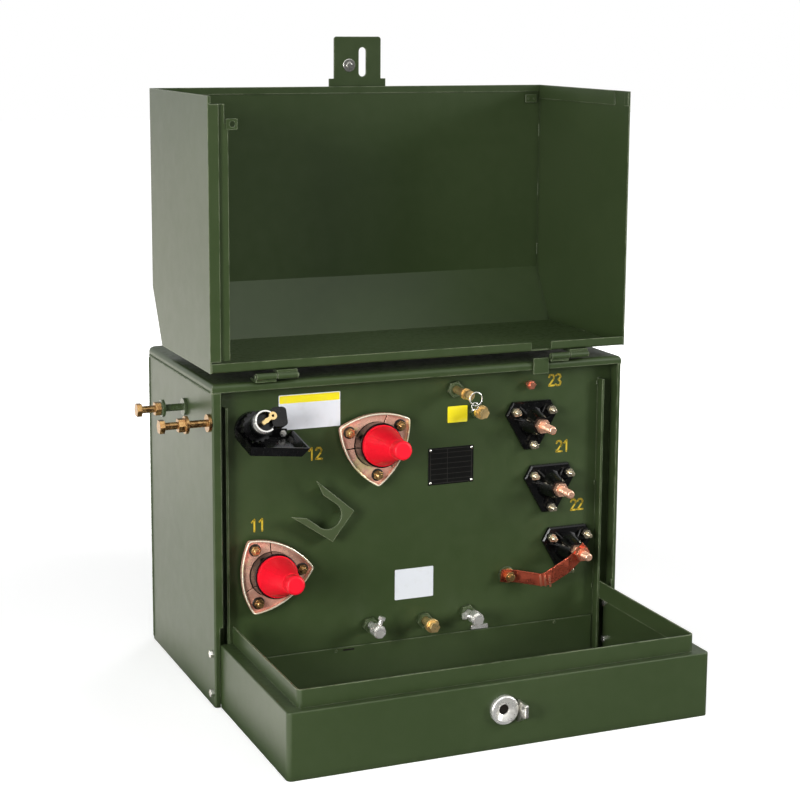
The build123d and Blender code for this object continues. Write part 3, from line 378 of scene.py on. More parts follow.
@dataclass(frozen=True)
class BlackMoulding:
    """Black cast epoxy with a satin skin."""

    colour: Colour = (0.002, 0.002, 0.0022)
    grey: Colour = (0.009, 0.009, 0.0095)

    def make(self) -> Finish:
        """Builds the material."""
        s = Shader("black_epoxy")
        flow = s.noise(45.0, 4.0)
        dust = s.step(s.noise(240.0, 3.0), 0.55, 0.75)
        colour = s.blend(dust * 0.35 + s.step(flow, 0.4, 0.7) * 0.25, self.colour, self.grey)
        return s.surface(Base_Color=colour, Roughness=0.12 + flow * 0.12 + dust * 0.2,
                         Normal=s.bump(s.noise(300.0, 3.0), 0.22, 0.4), Specular_IOR_level=0.4)


@dataclass(frozen=True)
class BareMetal:
    """Bare or polished metal with tarnish and drawing lines."""

    name: str
    bright: Colour
    tarnish: Colour
    roughness: float = 0.24
    spread: float = 0.5
    metallic: float = 0.85

    def make(self) -> Finish:
        """Builds the material."""
        s = Shader(self.name)
        stain = s.step(s.noise(36.0, 3.0), 0.42, 0.74)
        lines = s.noise(140.0, 1.0, (1.0, 1.0, 5.0))
        colour = s.blend(stain * self.spread, self.bright, self.tarnish)
        rough = self.roughness + stain * 0.2 + lines * 0.08
        return s.surface(Base_Color=colour, Roughness=rough, Metallic=self.metallic,
                         Normal=s.bump(lines, 0.04, 0.1))


@dataclass(frozen=True)
class BlackPlate:
    """Black-filled aluminium data plate, its fields ruled off and left empty."""

    low: Point
    high: Point
    black: Colour = (0.004, 0.004, 0.0035)
    ruled: Colour = (0.07, 0.07, 0.06)
    rows: int = 7

    def make(self) -> Finish:
        """Builds the material."""
        s = Shader("data_plate_black")
        x, z = s.axis("X"), s.axis("Z")
        wide, high = self.high[0] - self.low[0], self.high[2] - self.low[2]
        across, up = (x - self.low[0]) / wide, (z - self.low[2]) / high
        edge = s.maths("MAXIMUM", abs(across - 0.5), abs(up - 0.5))
        inside = s.step(edge, 0.455, 0.45)
        rows = s.step(abs((up * self.rows) % 1.0 - 0.5), 0.45, 0.48)
        column = s.step(abs(across - 0.42), 0.006, 0.003)
        border = s.step(abs(edge - 0.458), 0.007, 0.004)
        lines = s.maths("MAXIMUM", border, inside * s.maths("MAXIMUM", rows, column))
        wear = s.noise(300.0, 3.0)
        colour = s.blend(lines * (0.2 + wear * 0.4), self.black, self.ruled)
        return s.surface(Base_Color=colour, Roughness=0.3 + wear * 0.16, Normal=s.bump(wear, 0.06, 0.1),
                         Specular_IOR_level=0.2)


@dataclass(frozen=True)
class CoreAndOil:
    """Oil-soaked insulation and core inside the sealed tank."""

    colour: Colour = (0.2, 0.13, 0.06)
    dark: Colour = (0.08, 0.05, 0.02)

    def make(self) -> Finish:
        """Builds the material."""
        s = Shader("oiled_core")
        soak = s.noise(14.0, 4.0)
        return s.surface(Base_Color=s.blend(soak, self.colour, self.dark), Roughness=0.3 + soak * 0.3)


@dataclass(frozen=True)
class PlainFilm:
    """Vinyl film or enamel in one colour, with a satin face and faint smears."""

    name: str
    colour: Colour
    grime_and_shade: Colour = (0.42, 0.4, 0.34)
    soiling: float = 0.14

    def make(self) -> Finish:
        """Builds the material."""
        s = Shader(self.name)
        smear = s.step(s.noise(55.0, 4.0), 0.5, 0.78)
        colour = s.blend(smear * self.soiling, self.colour, self.grime_and_shade)
        return s.surface(Base_Color=colour, Roughness=0.36 + smear * 0.2,
                         Normal=s.bump(s.noise(240.0), 0.05, 0.2))


class Finishes:
    """The materials of all the slots, and those of single pieces."""

    def __init__(self) -> None:
        """Builds each material once."""
        low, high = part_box("data_plate")
        copper = BareMetal("copper_bar", (0.95, 0.37, 0.23), (0.4, 0.08, 0.035), 0.17, 0.5, 0.85)
        self.by_slot: dict[Slot, Finish] = {
            Slot.GREEN_PAINT: GreenPaint().make(),
            Slot.ZINC_STEEL: ZincSteel().make(),
            Slot.GOLD_ZINC: GoldZinc().make(),
            Slot.RED_CAP: RedCap().make(),
            Slot.BLACK_MOULDING: BlackMoulding().make(),
            Slot.COPPER: copper.make(),
            Slot.BRASS: BareMetal("brass_turned", (0.9, 0.66, 0.3), (0.5, 0.28, 0.1), 0.24).make(),
            Slot.DATA_PLATE: BlackPlate(tuple(low), tuple(high)).make(),
            Slot.CORE_AND_OIL: CoreAndOil().make(),
        }
        self.white_film = PlainFilm("white_film", (0.76, 0.79, 0.83)).make()
        self.yellow_film = PlainFilm("yellow_film", (0.93, 0.8, 0.01)).make()
        self.gilt = PlainFilm("gilt_enamel", (0.62, 0.44, 0.03), (0.34, 0.24, 0.05)).make()
        # Near-black steel, used only as painted shade: round the clamp nuts, in the lock's cup and on the
        # skirt's slot.
        dark = ZincSteel("painted_shade_steel", (0.03, 0.025, 0.02), (0.012, 0.011, 0.01), 0.34, 0.6)
        self.shade_steel = dark.make()
        self.galvanised = ZincSteel("galvanised", (0.97, 0.96, 0.92), (0.76, 0.74, 0.69), 0.2, 0.7).make()
        cream = ((0.95, 0.82, 0.6), (0.98, 0.9, 0.72), (0.95, 0.86, 0.5))
        self.cream_zinc = GoldZinc("cream_zinc", cream).make()
        bronze = ((0.36, 0.2, 0.07), (0.5, 0.32, 0.13), (0.7, 0.5, 0.24))
        self.bronze = GoldZinc("bronze_zinc", bronze, (0.1, 0.06, 0.03), 0.85).make()
        rubbed = BareMetal("copper_rubbed", (0.99, 0.6, 0.42), (0.75, 0.3, 0.17), 0.18, 0.4, 0.75)
        self.bright_copper = rubbed.make()
        strap = BareMetal("copper_strap", (0.76, 0.16, 0.09), (0.28, 0.045, 0.02), 0.2, 0.6, 0.92)
        self.of_node: dict[str, Finish] = {
            "lv_studs": self.bright_copper,
            "ground_strap": strap.make(),
            "lifting_bolts": LiftingBolts().make(),
            "hv_clamp_bolts": self.bronze,
            "strap_fastening": self.bronze,
            "hinge_pins": self.by_slot[Slot.GREEN_PAINT],
            "ground_connectors": self.galvanised,
            # The parking stand gets a paler copy of the green paint, painted light for its faces that catch
            # the lamps.
            "parking_stand": GreenPaint((0.058, 0.082, 0.034), (0.078, 0.1, 0.05), name="painted_light_enamel").make(),
            "fuse_collar": self.galvanised,
            "lock_disc": self.galvanised,
            "lv_clamp_bolts": ZincSteel("yellow_zinc", (0.84, 0.76, 0.58), (0.5, 0.43, 0.3)).make(),
        }

    def dress_frame(self) -> None:
        """Gives every CAD node its finish and rounds its edges."""
        slots = {row["node"]: Slot(row["material_slot"]) for row in frame["record"]["subparts"]}
        for name, node in frame["nodes"].items():
            node.data.materials.clear()
            node.data.materials.append(self.of_node.get(name, self.by_slot[slots[name]]))
            EdgeRounding(node).apply()


@dataclass
class EdgeRounding:
    """Softens the edges of a CAD node as bent or broken edges are."""

    node: bpy.types.Object
    width_mm: float = 0.8
    angle: float = 32.0

    def apply(self) -> None:
        """Adds the modifiers that join, round and smooth."""
        weld = self.node.modifiers.new("join", "WELD")
        weld.merge_threshold = 0.00001
        flat = self.node.modifiers.new("flatten", "DECIMATE")
        flat.decimate_type = "DISSOLVE"
        flat.angle_limit = math.radians(0.4)
        bevel = self.node.modifiers.new("round", "BEVEL")
        bevel.width = self.width_mm * MM
        bevel.segments = 2
        bevel.limit_method = "ANGLE"
        bevel.angle_limit = math.radians(self.angle)
        bevel.use_clamp_overlap = True
        normals = self.node.modifiers.new("smooth", "WEIGHTED_NORMAL")
        normals.weight = 60
        normals.keep_sharp = False


class PieceMesh:
    """Gathers the faces of one added piece, in millimetres of the shared frame."""

    def __init__(self) -> None:
        """Starts empty."""
        self.mesh = bmesh.new()

    def loft(self, rings: Sequence[Sequence[Vector]], closed: bool = True, capped: bool = True) -> None:
        """Joins rings of points into a skin.

        Args:
            rings: Rings with equal counts.
            closed: Whether each ring meets itself.
            capped: Whether the ends are filled.
        """
        rows = [[self.mesh.verts.new(point) for point in ring] for ring in rings]
        count = len(rows[0])
        for low, high in zip(rows, rows[1:]):
            for i in range(count if closed else count - 1):
                j = (i + 1) % count
                self.mesh.faces.new((low[i], low[j], high[j], high[i]))
        if capped and closed:
            self.mesh.faces.new(list(reversed(rows[0])))
            self.mesh.faces.new(rows[-1])

    def lathe(self, place: Matrix, profile: Sequence[Pair], steps: int = 32) -> None:
        """Turns a profile of (radius, height) pairs about the place's own Z axis."""
        turns = [2 * math.pi * i / steps for i in range(steps)]
        self.loft([[place @ Vector((r * math.cos(a), r * math.sin(a), h)) for a in turns] for r, h in profile])

    def tube(self, path: Sequence[Vector], radii: Sequence[float], steps: int = 10) -> None:
        """Sweeps a circle of changing radius along a path."""
        rings = []
        for i, point in enumerate(path):
            ahead = (path[min(i + 1, len(path) - 1)] - path[max(i - 1, 0)]).normalized()
            side = ahead.orthogonal() if abs(ahead.z) > 0.9 else ahead.cross(Vector((0, 0, 1)))
            side.normalize()
            other = ahead.cross(side)
            turns = [2 * math.pi * k / steps for k in range(steps)]
            rings.append([point + radii[i] * (side * math.cos(a) + other * math.sin(a)) for a in turns])
        self.loft(rings)

    def bead(self, start: Point, end: Point, radius: float, seed: int) -> None:
        """Lays a weld bead with its ripples between two points."""
        rng = random.Random(seed)
        a, b = Vector(start), Vector(end)
        pitch = radius * 0.9
        count = max(6, int((b - a).length / pitch) * 2)
        path, radii = [], []
        for i in range(count + 1):
            wander = Vector((rng.uniform(-1, 1), rng.uniform(-1, 1), rng.uniform(-1, 1))) * radius * 0.1
            path.append(a.lerp(b, i / count) + wander)
            ends = min(1.0, 0.35 + 0.65 * min(i, count - i) / 2)
            radii.append(radius * ends * ((1.0 if i % 2 else 0.82) + rng.uniform(-0.06, 0.06)))
        self.tube(path, radii, 8)

    def slab(self, place: Matrix, outline: Sequence[Pair], thickness: float,
             edge: float = 0.0) -> None:
        """Raises an outline into a plate with a softened front edge.

        Args:
            place: Where its own XY plane lies; it rises along its own Z.
            outline: Corners in order.
            thickness: How far it rises.
            edge: How far the front edge is drawn in.
        """
        middle = Vector((sum(p[0] for p in outline), sum(p[1] for p in outline))) / len(outline)
        drawn = [Vector(p) + (middle - Vector(p)).normalized() * edge for p in outline]
        rows = [[place @ Vector((*p, 0)) for p in outline],
                [place @ Vector((*p, thickness - edge)) for p in outline],
                [place @ Vector((p.x, p.y, thickness)) for p in drawn]]
        self.loft(rows)

    def thread(self, place: Matrix, radius: float, length: float, pitch: float, depth: float,
               steps: int = 24) -> None:
        """Winds a screw thread round the place's own Z axis.

        Args:
            place: Its start.
            radius: Radius at the crest.
            length: Threaded length.
            pitch: Rise in a turn.
            depth: Depth from crest to root.
            steps: Points in a turn.
        """
        total = int(length / pitch * steps)
        rings = []
        for i in range(total + 1):
            angle = 2 * math.pi * i / steps
            rise = pitch * i / steps
            grown = min(1.0, min(i, total - i) / steps)
            crest = radius - depth * (1 - grown)
            out = Vector((math.cos(angle), math.sin(angle), 0))
            root = radius - depth
            rings.append([place @ (out * root + Vector((0, 0, rise - pitch * 0.48))),
                          place @ (out * crest + Vector((0, 0, rise - pitch * 0.08))),
                          place @ (out * crest + Vector((0, 0, rise + pitch * 0.08))),
                          place @ (out * root + Vector((0, 0, rise + pitch * 0.48)))])
        self.loft(rings, closed=False, capped=False)

    def done(self, name: str, body: Body, finish: Finish,
             smooth: float) -> None:
        """Makes the object and lets it ride.

        Args:
            name: The piece's name.
            body: What it rides on.
            finish: Its material.
            smooth: Edges flatter than this many degrees are shaded smooth.
        """
        bmesh.ops.recalc_face_normals(self.mesh, faces=self.mesh.faces)
        self.mesh.transform(Matrix.Scale(MM, 4))
        data = bpy.data.meshes.new(name)
        self.mesh.to_mesh(data)
        self.mesh.free()
        data.materials.append(finish)
        data.shade_smooth()
        data.set_sharp_from_angle(angle=math.radians(smooth))
        made = bpy.data.objects.new(name, data)
        bpy.context.scene.collection.objects.link(made)
        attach(made, body.value)
        log.info("%s: %d faces on the %s", name, len(data.polygons), body.value)


def out_of_plate(x: float, z: float, out: float = 0.0, tilt: float = 0.0, turn: float = 0.0) -> Matrix:
    """Gives a place on the front plate whose own Z axis points out of it.

    Args:
        x: Distance to the right of the middle.
        z: Height.
        out: Distance in front of the plate.
        tilt: Degrees that the axis is raised.
        turn: Degrees that it is turned about its axis.

    Returns:
        The place.
    """
    facing = Matrix.Rotation(math.radians(90 - tilt), 4, "X")
    return Matrix.Translation((x, PLATE_Y - out, z)) @ facing @ Matrix.Rotation(math.radians(turn), 4, "Z")


def rectangle(width: float, height: float, corner: float, steps: int = 4) -> list[Pair]:
    """Gives the outline of a rectangle with rounded corners, about its middle."""
    points = []
    for quarter, (sx, sy) in enumerate(((1, 1), (-1, 1), (-1, -1), (1, -1))):
        for i in range(steps + 1):
            a = math.radians(90 * quarter + 90 * i / steps)
            points.append((sx * (width / 2 - corner) + corner * math.cos(a),
                           sy * (height / 2 - corner) + corner * math.sin(a)))
    return points


def polar(radius: float, turn: float) -> Vector:
    """Gives a point in a plane at a radius and a turn in degrees."""
    return Vector((radius * math.cos(math.radians(turn)), radius * math.sin(math.radians(turn))))


@dataclass
class Group:
    """A sub-assembly whose pieces take their looks from the shared finishes."""

    finishes: Finishes

    def add(self, mesh: PieceMesh, name: str, slot: Slot, finish: Optional[Finish] = None,
            smooth: float = 40.0, body: Body = Body.TANK) -> None:
        """Ends a piece in its slot's finish, unless another is given, and lets it ride on a body."""
        mesh.done(name, body, finish or self.finishes.by_slot[slot], smooth)


@dataclass
class Labels(Group):
    """Bare films, numbers and the data plate's rivets on the front plate."""

    film: float = 0.35
    large: Quad = (-227.5, 556.0, 125.0, 68.0)
    band: float = 15.0
    small: Quad = (83.5, 525.5, 43.0, 33.0)
    tag: Quad = (-7.5, 189.0, 83.0, 62.0)
    numbers: tuple[tuple[str, float, float], ...] = (
        ("12", -216.0, 471.0), ("11", -333.0, 341.0), ("23", 300.0, 579.0), ("21", 320.0, 441.0),
        ("22", 356.0, 315.0))
    number_height: float = 23.0
    digit_step: float = 0.68
    stroke: float = 3.6
    enamel: float = 0.25
    rivet_inset: float = 4.5
    rivet: Pairs = ((2.6, 0), (2.6, 1.0), (1.8, 1.8), (0.3, 2.1))
    strokes: tuple[tuple[str, Pairs], ...] = (
        ("1", ((0.14, 0.78), (0.36, 1.0), (0.36, 0.0))),
        ("2", ((0.05, 0.8), (0.16, 0.97), (0.42, 0.97), (0.55, 0.78), (0.5, 0.6), (0.05, 0.03), (0.57, 0.03))),
        ("3", ((0.05, 0.9), (0.2, 1.0), (0.45, 0.95), (0.52, 0.75), (0.3, 0.53), (0.53, 0.3), (0.45, 0.05),
               (0.2, 0.0), (0.03, 0.12))))

    def film_piece(self, name: str, box: Quad, finish: Finish,
                   out: float = 0.0) -> None:
        """Lays one film on a box of middle x, middle z, width and height, some way in front of the plate."""
        x, z, width, height = box
        piece = PieceMesh()
        piece.slab(out_of_plate(x, z, out), rectangle(width, height, 2.0), self.film, 0.1)
        self.add(piece, name, Slot.GREEN_PAINT, finish)

    def paint_numbers(self) -> None:
        """Paints a plain number beside each bushing."""
        lines = dict(self.strokes)
        half = self.stroke / 2
        piece = PieceMesh()
        for word, x, z in self.numbers:
            for i, digit in enumerate(word):
                shift = (i - len(word) / 2) * self.number_height * self.digit_step
                at = out_of_plate(x + shift, z - self.number_height / 2)
                points = [Vector(p) * self.number_height for p in lines[digit]]
                for point in points:
                    piece.lathe(at @ Matrix.Translation((*point, 0)), ((half, 0), (half, self.enamel)), 12)
                for a, b in zip(points, points[1:]):
                    side = (b - a).normalized().orthogonal() * self.stroke / 2
                    corners = [tuple(a - side), tuple(b - side), tuple(b + side), tuple(a + side)]
                    piece.slab(at, corners, self.enamel)
        self.add(piece, "bushing_numbers", Slot.GREEN_PAINT, self.finishes.gilt)

    def rivets(self) -> None:
        """Sets a rivet in each corner of the data plate."""
        low, high = (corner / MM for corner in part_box("data_plate"))
        piece = PieceMesh()
        inset = self.rivet_inset
        for x in (low.x + inset, high.x - inset):
            for z in (low.z + inset, high.z - inset):
                piece.lathe(out_of_plate(x, z, 1.0), self.rivet, 16)
        self.add(piece, "data_plate_rivets", Slot.ZINC_STEEL)

    def build(self) -> None:
        """Lays all the films, numbers and rivets."""
        x, z, width, height = self.large
        self.film_piece("label_upper", self.large, self.finishes.white_film)
        self.film_piece("label_upper_band", (x, z + (height - self.band) / 2 - 1.5, width - 3, self.band),
                        self.finishes.yellow_film, self.film * 0.6)
        self.film_piece("label_small", self.small, self.finishes.yellow_film)
        self.film_piece("label_lower", self.tag, self.finishes.white_film)
        self.paint_numbers()
        self.rivets()


@dataclass
class LowVoltageSide(Group):
    """Threads on the copper studs and clamp bolts, the strap's pleats and the bushings' ribs."""

    places: Pairs = ((244.6, 499.4), (287.8, 365.6), (331.0, 231.8))
    stud_radius: float = 8.35
    stud_starts: Values = (63.4, 63.4, 78.4)
    stud_end: float = 100.0
    stud_thread: Pair = (2.3, 0.8)
    bolt_circle: float = 46.0
    bolt_radius: float = 4.25
    bolt_start: float = 21.3
    bolt_end: float = 34.4
    bolt_thread: Pair = (1.5, 0.6)
    bolt_turns: Values = (30.0, 150.0, 270.0)
    pleats: Pairs = ((256.0, 37.6), (264.0, 42.2), (272.0, 46.8))
    pleat_middle: float = 174.8
    pleat_lean: float = 1.6
    pleat_half: float = 12.4
    pleat_radii: Values = (2.0, 2.8, 2.9, 2.8, 2.0)
    rib_turns: Values = (12.0, 48.0, 132.0, 168.0, 252.0, 288.0)
    rib_reach: Pair = (24.0, 43.0)
    rib_height: float = 19.0
    rib_drop: float = 9.5
    rib_radii: Values = (2.6, 2.3, 1.6)

    def threads(self) -> None:
        """Winds the threads of the studs and the clamp bolts."""
        studs, bolts = PieceMesh(), PieceMesh()
        for (x, z), start in zip(self.places, self.stud_starts):
            studs.thread(out_of_plate(x, z, start), self.stud_radius, self.stud_end - start, *self.stud_thread)
            for turn in self.bolt_turns:
                way = polar(self.bolt_circle, turn)
                bolts.thread(out_of_plate(x + way.x, z + way.y, self.bolt_start), self.bolt_radius,
                             self.bolt_end - self.bolt_start, *self.bolt_thread, 16)
        self.add(studs, "stud_threads", Slot.COPPER, self.finishes.bright_copper, smooth=20.0)
        zinc = self.finishes.of_node["lv_clamp_bolts"]
        self.add(bolts, "clamp_bolt_threads", Slot.ZINC_STEEL, zinc, smooth=20.0)

    def fold_pleats(self) -> None:
        """Folds the pleats across the strap, in paler copper than the strap as a painted highlight on the
        folds.
        """
        piece = PieceMesh()
        for x, out in self.pleats:
            path = [Vector((x + self.pleat_lean * t, PLATE_Y - out, self.pleat_middle - self.pleat_half * t))
                    for t in (-1.0, -0.5, 0.0, 0.5, 1.0)]
            piece.tube(path, self.pleat_radii, 12)
        # Painted highlight: the pleats take the paler copper, the strap beneath them a darker one.
        self.add(piece, "strap_pleats", Slot.COPPER)

    def ribs(self) -> None:
        """Raises the ribs of the bushings."""
        piece = PieceMesh()
        for x, z in self.places:
            at = out_of_plate(x, z)
            for turn in self.rib_turns:
                near, far = (polar(reach, turn) for reach in self.rib_reach)
                path = [at @ Vector((*near.lerp(far, t), self.rib_height - self.rib_drop * t))
                        for t in (0.0, 0.5, 1.0)]
                piece.tube(path, self.rib_radii, 10)
        self.add(piece, "bushing_ribs", Slot.BLACK_MOULDING)

    def build(self) -> None:
        """Winds the threads, folds the pleats and raises the ribs."""
        self.threads()
        self.fold_pleats()
        self.ribs()


@dataclass
class HighVoltageSide(Group):
    """Rolled rims and washers of the clamps, bolt threads and the caps' mould lines."""

    wells: tuple[Point, ...] = ((-97.72, 483.02, -86.5), (-311.3, 246.21, 3.5))
    corner_circle: float = 75.0
    corner_radius: float = 8.0
    side_radius: float = 150.0
    bolt_circle: float = 61.0
    rim_out: float = 21.0
    rim_inset: float = 1.5
    face_out: float = 16.0
    tilt: float = 7.0
    corners: Values = (0.0, 120.0, 240.0)
    rim: Pairs = (
        (1.5, -1.2), (1.7, 0.2), (0.9, 1.1), (0.0, 1.4), (-0.9, 1.1), (-1.6, 0.2), (-1.5, -1.2))
    washer: Pairs = ((12.2, 0.0), (12.2, 1.2), (11.6, 1.7), (9.0, 1.7))
    thread_start: float = 9.3
    thread: Quad = (5.3, 8.2, 1.6, 0.7)
    cap_out: float = 14.0
    line_turns: Values = (55.0, 145.0, 235.0, 325.0)
    line_reach: Pair = (38.3, 19.2)
    line_span: Pair = (43.0, 74.0)
    line_radii: Values = (0.7, 0.6, 0.5)

    def outline(self, inset: float, steps: int = 14) -> list[Vector]:
        """Gives the clamp's outline, drawn in by an inset.

        Args:
            inset: How far it is drawn in.
            steps: Points on each bowed side.

        Returns:
            The outline's points in order.
        """
        half_chord = self.corner_circle * math.sin(math.radians(60))
        reach = self.side_radius - self.corner_radius
        setback = math.sqrt(reach ** 2 - half_chord ** 2) - self.corner_circle * 0.5
        points = []
        for turn in self.corners:
            corner, centre = polar(self.corner_circle, turn), polar(-setback, turn + 60)
            before = polar(-setback, turn - 60)
            first = math.degrees(math.atan2(*reversed((corner - before).normalized())))
            last = math.degrees(math.atan2(*reversed((corner - centre).normalized())))
            sweep = (last - first + 180) % 360 - 180
            points += [corner + polar(self.corner_radius - inset, first + sweep * i / 6) for i in range(7)]
            ahead = polar(self.corner_circle, turn + 120)
            finish = math.degrees(math.atan2(*reversed((ahead - centre).normalized())))
            side = (finish - last + 180) % 360 - 180
            bowed = self.side_radius - inset
            points += [centre + polar(bowed, last + side * i / steps) for i in range(1, steps)]
        return points

    def rims(self) -> None:
        """Rolls the edge of both clamps."""
        piece = PieceMesh()
        for x, z, turn in self.wells:
            at = out_of_plate(x, z, self.rim_out, turn=turn)
            rings = []
            for spread, rise in self.rim:
                rings.append([at @ Vector((*p, rise)) for p in self.outline(self.rim_inset - spread)])
            piece.loft(rings, capped=False)
        self.add(piece, "clamp_rims", Slot.GOLD_ZINC, self.finishes.cream_zinc, smooth=60.0)

    def fastenings(self) -> None:
        """Lays a washer under each nut, near black as the painted shade round the nut, and winds the bolts'
        threads.
        """
        washers, threads = PieceMesh(), PieceMesh()
        for x, z, turn in self.wells:
            for corner in self.corners:
                way = polar(self.bolt_circle, turn + corner)
                at = out_of_plate(x + way.x, z + way.y, self.face_out)
                washers.lathe(at, self.washer, 28)
                threads.thread(at @ Matrix.Translation((0, 0, self.thread_start)), *self.thread, 18)
        # Painted shade: the washers are near black to stand for the shadow round each nut.
        self.add(washers, "clamp_washers", Slot.GOLD_ZINC, self.finishes.shade_steel)
        self.add(threads, "clamp_stud_threads", Slot.GOLD_ZINC, self.finishes.bronze, smooth=20.0)

    def mould_lines(self) -> None:
        """Raises the faint mould lines along the caps."""
        piece = PieceMesh()
        for x, z, _ in self.wells:
            at = out_of_plate(x, z, self.cap_out, self.tilt)
            start, length = self.line_span
            for turn in self.line_turns:
                near, far = (polar(reach, turn) for reach in self.line_reach)
                path = [at @ Vector((*near.lerp(far, t), start + length * t)) for t in (0.0, 0.5, 1.0)]
                piece.tube(path, self.line_radii, 8)
        self.add(piece, "cap_mould_lines", Slot.RED_CAP)

    def build(self) -> None:
        """Builds the rims, washers, threads and lines."""
        self.rims()
        self.fastenings()
        self.mould_lines()


@dataclass
class Fittings(Group):
    """Hexagon feet, the valve's second ring, the fuse's lining, the tray's bolt and the ground bar."""

    feet: tuple[Point, ...] = (
        (76.0, 577.0, 30.0), (124.0, 531.0, 28.0), (14.0, 111.0, 28.0), (-103.0, 116.0, 28.0),
        (108.5, 116.0, 28.0))
    foot_height: float = 9.0
    foot_turn: float = 12.0
    foot_chamfer: Pair = (0.93, 1.5)
    ring: Quad = (84.0, 556.5, 78.5, 7.0)
    ring_rise: float = 2.4
    ring_wire: float = 1.1
    ring_bead_at: Point = (-5.0, -7.5, -2.0)
    ring_bead: Pairs = ((0.4, 0.0), (2.4, 1.2), (3.0, 3.0), (2.4, 4.8), (0.4, 6.0))
    tray_bolt: Pair = (-282.5, 517.0)
    bolt_profile: Pairs = ((7.0, 0.0), (7.0, 1.4), (4.6, 1.4), (4.6, 6.0), (3.6, 7.0))
    bar: Quad = (136.5, 82.0, 36.0, 8.0)
    fuse: Quad = (-345.0, 530.0, 10.0, 23.0)
    lining: Pairs = (
        (0.3, 73.0), (15.6, 73.0), (16.6, 82.6), (17.9, 82.9), (17.9, 71.0))

    def hex_foot(self, piece: PieceMesh, x: float, z: float, flats: float) -> None:
        """Adds one chamfered hexagon foot round a boss."""
        rows = []
        at = out_of_plate(x, z)
        drawn, chamfer = self.foot_chamfer
        for scale, out in ((1.0, 0.0), (1.0, self.foot_height - chamfer), (drawn, self.foot_height)):
            reach = flats * scale / math.sqrt(3)
            rows.append([at @ Vector((*polar(reach, 60.0 * i + self.foot_turn), out)) for i in range(6)])
        piece.loft(rows)

    def build(self) -> None:
        """Builds the feet, the ring, the tray's bolt, the lining and the bar."""
        piece = PieceMesh()
        for x, z, flats in self.feet:
            self.hex_foot(piece, x, z, flats)
        self.add(piece, "fitting_feet", Slot.GREEN_PAINT, smooth=25.0)
        x, z, out, radius = self.ring
        ring = PieceMesh()
        at = out_of_plate(x, z, out)
        turns = [polar(radius, 15.0 * i) for i in range(25)]
        path = [at @ Vector((*p, self.ring_rise * i / 24)) for i, p in enumerate(turns)]
        ring.tube(path, [self.ring_wire] * 25, 10)
        dx, dz, further = self.ring_bead_at
        ring.lathe(out_of_plate(x + dx, z + dz, out + further), self.ring_bead, 16)
        self.add(ring, "valve_split_ring", Slot.ZINC_STEEL)
        bolt = PieceMesh()
        x, z = self.tray_bolt
        bolt.lathe(out_of_plate(x, z, 3.0), self.bolt_profile, 6)
        self.add(bolt, "tray_bolt", Slot.ZINC_STEEL, self.finishes.galvanised)
        lining = PieceMesh()
        lining.lathe(out_of_plate(*self.fuse), self.lining, 40)
        self.add(lining, "fuse_lining", Slot.BLACK_MOULDING)
        bar = PieceMesh()
        x, z, width, height = self.bar
        bar.slab(out_of_plate(x, z), rectangle(width, height, 1.0), 5.0, 0.5)
        self.add(bar, "ground_bar", Slot.ZINC_STEEL, self.finishes.galvanised)


@dataclass
class Welds(Group):
    """Weld beads of the tank, its fittings and the hood."""

    half_width: float = 432.0
    rear: float = 227.0
    cover_seam: float = 610.0
    corner: float = 20.0
    strip_dots: Values = (567.0, 358.0, 138.0)
    strip_x: float = 395.0
    strip_half: float = 5.0
    cover_front: float = -214.0
    rear_foot: float = 6.0
    rear_gap: float = 4.0
    rings: tuple[Point, ...] = ((196.0, 183.8, 15.0),)
    tank_bead: float = 2.4
    strip_bead: float = 2.2
    hood_bead: float = 1.3
    stitch_bead: float = 2.0
    stitch_half: float = 14.0
    hood_edge: float = 432.5
    hood_inside: float = 432.0
    hood_seams: tuple[tuple[Pair, Pair], ...] = (
        ((161.2, 764.0), (161.2, 1152.0)), ((97.8, 648.8), (160.6, 759.0)))
    stitches: Pairs = (
        (-180.0, 651.4), (-60.0, 651.4), (60.0, 651.4), (157.6, 800.0), (157.6, 930.0), (157.6, 1060.0))
    upright_from: float = 700.0

    def tank(self) -> None:
        """Lays the tank's beads: under the cover, down the rear corners and along the strips."""
        piece = PieceMesh()
        side, back, level = self.half_width, self.rear - self.corner, self.cover_seam
        for sign, seed in ((-1, 3), (1, 5)):
            x = sign * side
            piece.bead((x, self.cover_front, level), (x, back, level), self.tank_bead, seed)
            piece.bead((x, back, self.rear_foot), (x, back, level - self.rear_gap), self.tank_bead, seed + 1)
            x, y = sign * self.strip_x, PLATE_Y - 0.4
            for i, z in enumerate(self.strip_dots):
                ends = (x, y, z - self.strip_half), (x, y, z + self.strip_half)
                piece.bead(*ends, self.strip_bead, seed + 20 + i)
        inner = side - self.corner
        piece.bead((-inner, self.rear, level), (inner, self.rear, level), self.tank_bead, 11)
        for x, z, radius in self.rings:
            at = out_of_plate(x, z)
            path = [at @ Vector((*polar(radius + 0.6, 15.0 * i), 0.6)) for i in range(25)]
            piece.tube(path, [1.8 + 0.25 * (i % 2) for i in range(25)], 8)
        self.add(piece, "tank_welds", Slot.GREEN_PAINT, smooth=60.0)

    def hood(self) -> None:
        """Lays the hood's beads along both sides, inside the slope and behind."""
        piece = PieceMesh()
        for sign, seed in ((-1, 31), (1, 41)):
            x = sign * self.hood_edge
            for i, (start, end) in enumerate(self.hood_seams):
                piece.bead((x, *start), (x, *end), self.hood_bead, seed + i)
            for i, (y, z) in enumerate(self.stitches):
                upright = z > self.upright_from
                along = Vector((0, 0, self.stitch_half)) if upright else Vector((0, self.stitch_half, 0))
                a = Vector((sign * self.hood_inside, y, z))
                piece.bead(tuple(a - along), tuple(a + along), self.stitch_bead, seed + 3 + i)
        self.add(piece, "hood_welds", Slot.GREEN_PAINT, smooth=60.0, body=Body.HOOD)

    def build(self) -> None:
        """Lays all the beads."""
        self.tank()
        self.hood()


